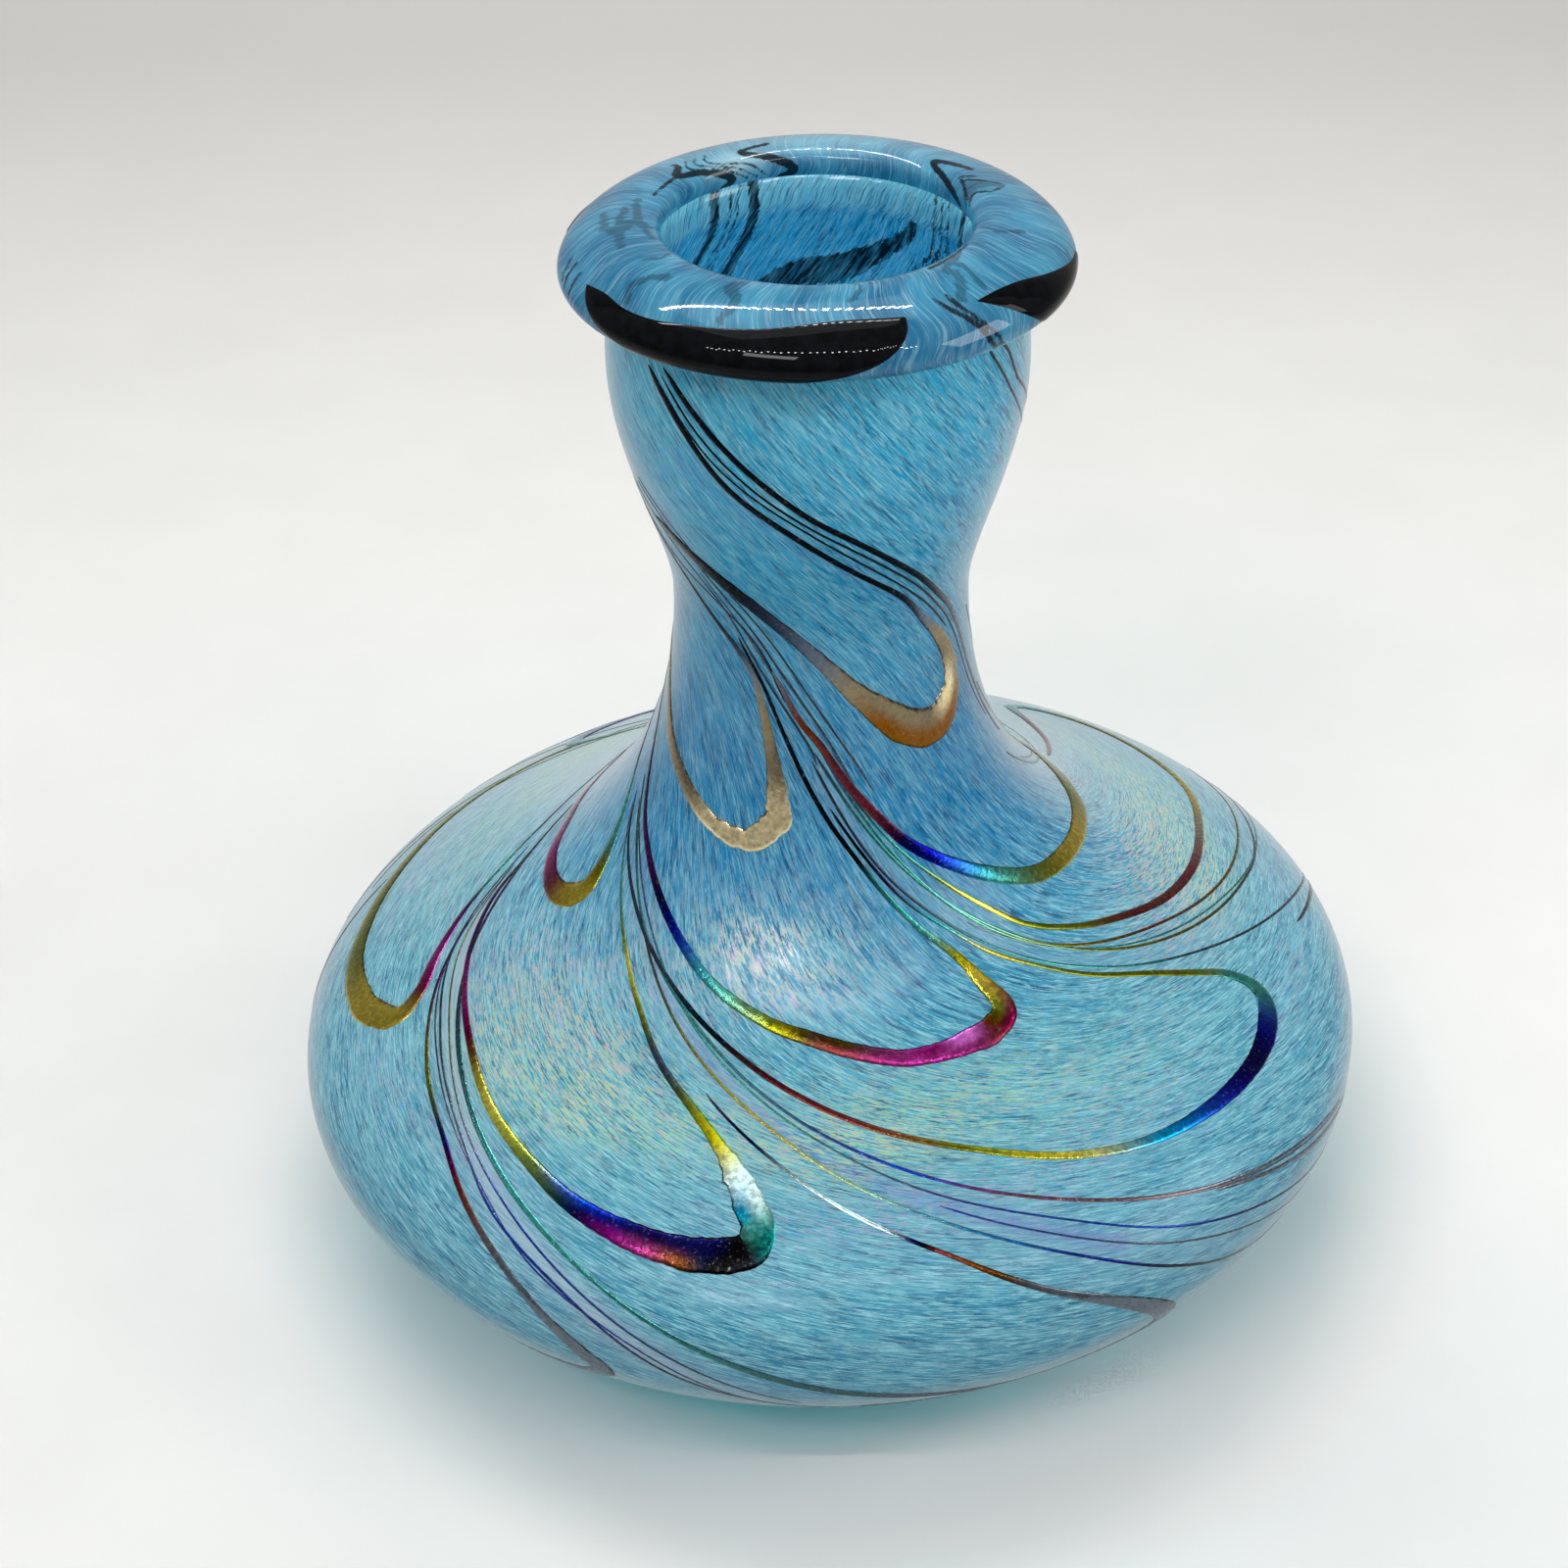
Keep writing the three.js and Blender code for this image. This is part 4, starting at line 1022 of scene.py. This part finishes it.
def trails():
    for node, spots in TRAILS.items():
        route = [spot[:3] for spot in spots]
        inner = linear([spot[3] for spot in spots])
        outer = linear([spot[-1] for spot in spots])
        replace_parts(trail(node, route, inner, outer), node)
    for node, (bearing, distance, reach, rise, palette) in REPEATED_LOOPS.items():
        spread = 2 * reach * BODY_RADIUS / (BODY_RADIUS + float(wall_at(distance)[0]))
        route = [(bearing + aside * spread, distance + up * rise, 2.5 * share)
                 for aside, up, share in LOOP_SHAPE]
        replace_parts(plain_trail(node, route, palette), node)
    for node, (width, palette, spots) in THREADS.items():
        route = [(*spot, width) for spot in spots]
        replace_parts(plain_trail(node, route, palette), node)
    for name, (width, palette, spots) in FINER_THREADS.items():
        route = [(*spot, width) for spot in spots]
        plain_trail(name, route, palette)
    for name, (like, aside, up, width) in SHIFTED_THREADS.items():
        _, palette, spots = (THREADS | FINER_THREADS)[like]
        spread = np.linspace(0.4, 1.0, len(spots))
        route = [(bearing + aside * share, distance + up * share, width)
                 for (bearing, distance), share in zip(spots, spread)]
        plain_trail(name, route, palette)
    for name, (like, turn) in BACK_THREADS.items():
        width, palette, spots = (THREADS | FINER_THREADS)[like]
        route = [(bearing + turn, distance, width) for bearing, distance in spots]
        plain_trail(name, route, palette)


# ---- studio ----


def studio():
    material, tree, shader, _ = new_material("studio_paper")
    tone = ramp(tree, speckle(tree, 30, 4.0), 0.3, 0.7)
    paper = mix(tree, tone, (208, 208, 206), (211, 211, 209))
    place = tree.nodes.new("ShaderNodeTexCoord")
    axes = tree.nodes.new("ShaderNodeSeparateXYZ")
    tree.links.new(place.outputs["Object"], axes.inputs[0])
    # Painted shade: the paper is darkened towards the front and towards the back.
    painted_front_shade = ramp(tree, axes.outputs["Y"], -0.14, 0.06, 0.3, 0.0)
    paper = mix(tree, painted_front_shade, paper, (181, 184, 185))
    painted_back_shade = ramp(tree, axes.outputs["Y"], 0.1, 0.6, 0.0, 1.0)
    paper = mix(tree, painted_back_shade, paper, (194, 192, 190))
    coat(tree, shader, paper, 0.9, 0.1)
    # The paper's run from front to back and up: flat, round a bend, then straight up.
    bend_y, bend_radius, half_width, bend_steps = 420, 180, 1500, 12
    run = [(-900, 0)]
    for step in range(bend_steps + 1):
        angle = math.radians(90 * step / bend_steps)
        rise = bend_radius - bend_radius * math.cos(angle)
        run.append((bend_y + bend_radius * math.sin(angle), rise))
    run.append((bend_y + bend_radius, 1200))
    points = []
    for y, z in run:
        points += [(side * MM, y * MM, z * MM) for side in (-half_width, half_width)]
    faces = [(2 * i, 2 * i + 1, 2 * i + 3, 2 * i + 2) for i in range(len(run) - 1)]
    mesh_object("studio_sweep", points, faces, material)


def area_light(name, place, towards, size, power):
    light = bpy.data.lights.new(name, "AREA")
    light.shape = "RECTANGLE"
    light.size, light.size_y = size[0] * MM, size[1] * MM
    light.energy = power
    lamp = bpy.data.objects.new(name, light)
    bpy.context.scene.collection.objects.link(lamp)
    lamp.location = Vector(place) * MM
    direction = (Vector(towards) - Vector(place)).normalized()
    lamp.rotation_euler = direction.to_track_quat("-Z", "Y").to_euler()
    return light


def dotted(light, count):
    """Makes a lamp shine from a row of dots along its width."""
    light.use_nodes = True
    tree = light.node_tree
    place = tree.nodes.new("ShaderNodeNewGeometry")
    axes = tree.nodes.new("ShaderNodeSeparateXYZ")
    tree.links.new(place.outputs["Parametric"], axes.inputs[0])
    part = calculate(tree, "FRACT", multiply(tree, axes.outputs["X"], count))
    shine = ramp(tree, part, 0.22, 0.28, 4.0, 0.0)
    tree.links.new(shine, tree.nodes["Emission"].inputs["Strength"])


def lights():
    world = bpy.data.worlds.new("studio")
    bpy.context.scene.world = world
    world.use_nodes = True
    tree = world.node_tree
    background = tree.nodes["Background"]
    background.inputs["Color"].default_value = (1, 1, 1, 1)
    # Brighter overhead than round the horizon.
    place = tree.nodes.new("ShaderNodeTexCoord")
    axes = tree.nodes.new("ShaderNodeSeparateXYZ")
    tree.links.new(place.outputs["Generated"], axes.inputs[0])
    shine = ramp(tree, axes.outputs["Z"], 0.0, 0.9, 0.30, 0.56)
    tree.links.new(shine, background.inputs["Strength"])
    area_light("soft_top", (-60, 160, 800), (0, 0, 40), (600, 400), 1.0)
    area_light("soft_front", (-230, -520, 640), (0, 0, 60), (260, 90), 1.3)
    area_light("soft_right", (520, -160, 360), (0, 0, 50), (300, 240), 1.25)
    # Two rows of small lamps, as in a light tent: a curved one above, a straight one in front.
    top_count, front_count = 30, 12
    for i in range(top_count):
        x = 490 * i / (top_count - 1) - 340
        place = (x, 200 - 0.1 * x - 0.0006 * x * x, 620)
        area_light("lamp_top_%d" % i, place, (0, 0, 60), (8, 20), 0.06)
    for i in range(front_count):
        x = 790 * i / (front_count - 1) - 430
        front = area_light("lamp_front_%d" % i, (x, -340, 590), (0, 0, 60), (68, 13), 0.13)
        dotted(front, 3)


def camera():
    lens = bpy.data.cameras.new("camera")
    lens.lens = 67.5
    lens.sensor_width = 36.0
    lens.clip_start = 0.01
    eye = bpy.data.objects.new("camera", lens)
    bpy.context.scene.collection.objects.link(eye)
    pitch, roll = math.radians(34.65), math.radians(1.30)
    away, aim_z, aside = 378.0, 59.7, 5.1
    place = Vector((-aside, -away * math.cos(pitch), aim_z + away * math.sin(pitch))) * MM
    turn = Matrix.Rotation(math.pi / 2 - pitch, 4, "X") @ Matrix.Rotation(-roll, 4, "Z")
    eye.matrix_world = Matrix.Translation(place) @ turn
    bpy.context.scene.camera = eye
    bpy.context.scene.view_settings.view_transform = "Standard"


casing()
lining()
lip()
for patch_node, patch_shape in LIP_PATCHES.items():
    lip_patch(patch_node, *patch_shape)
trails()
studio()
lights()
camera()
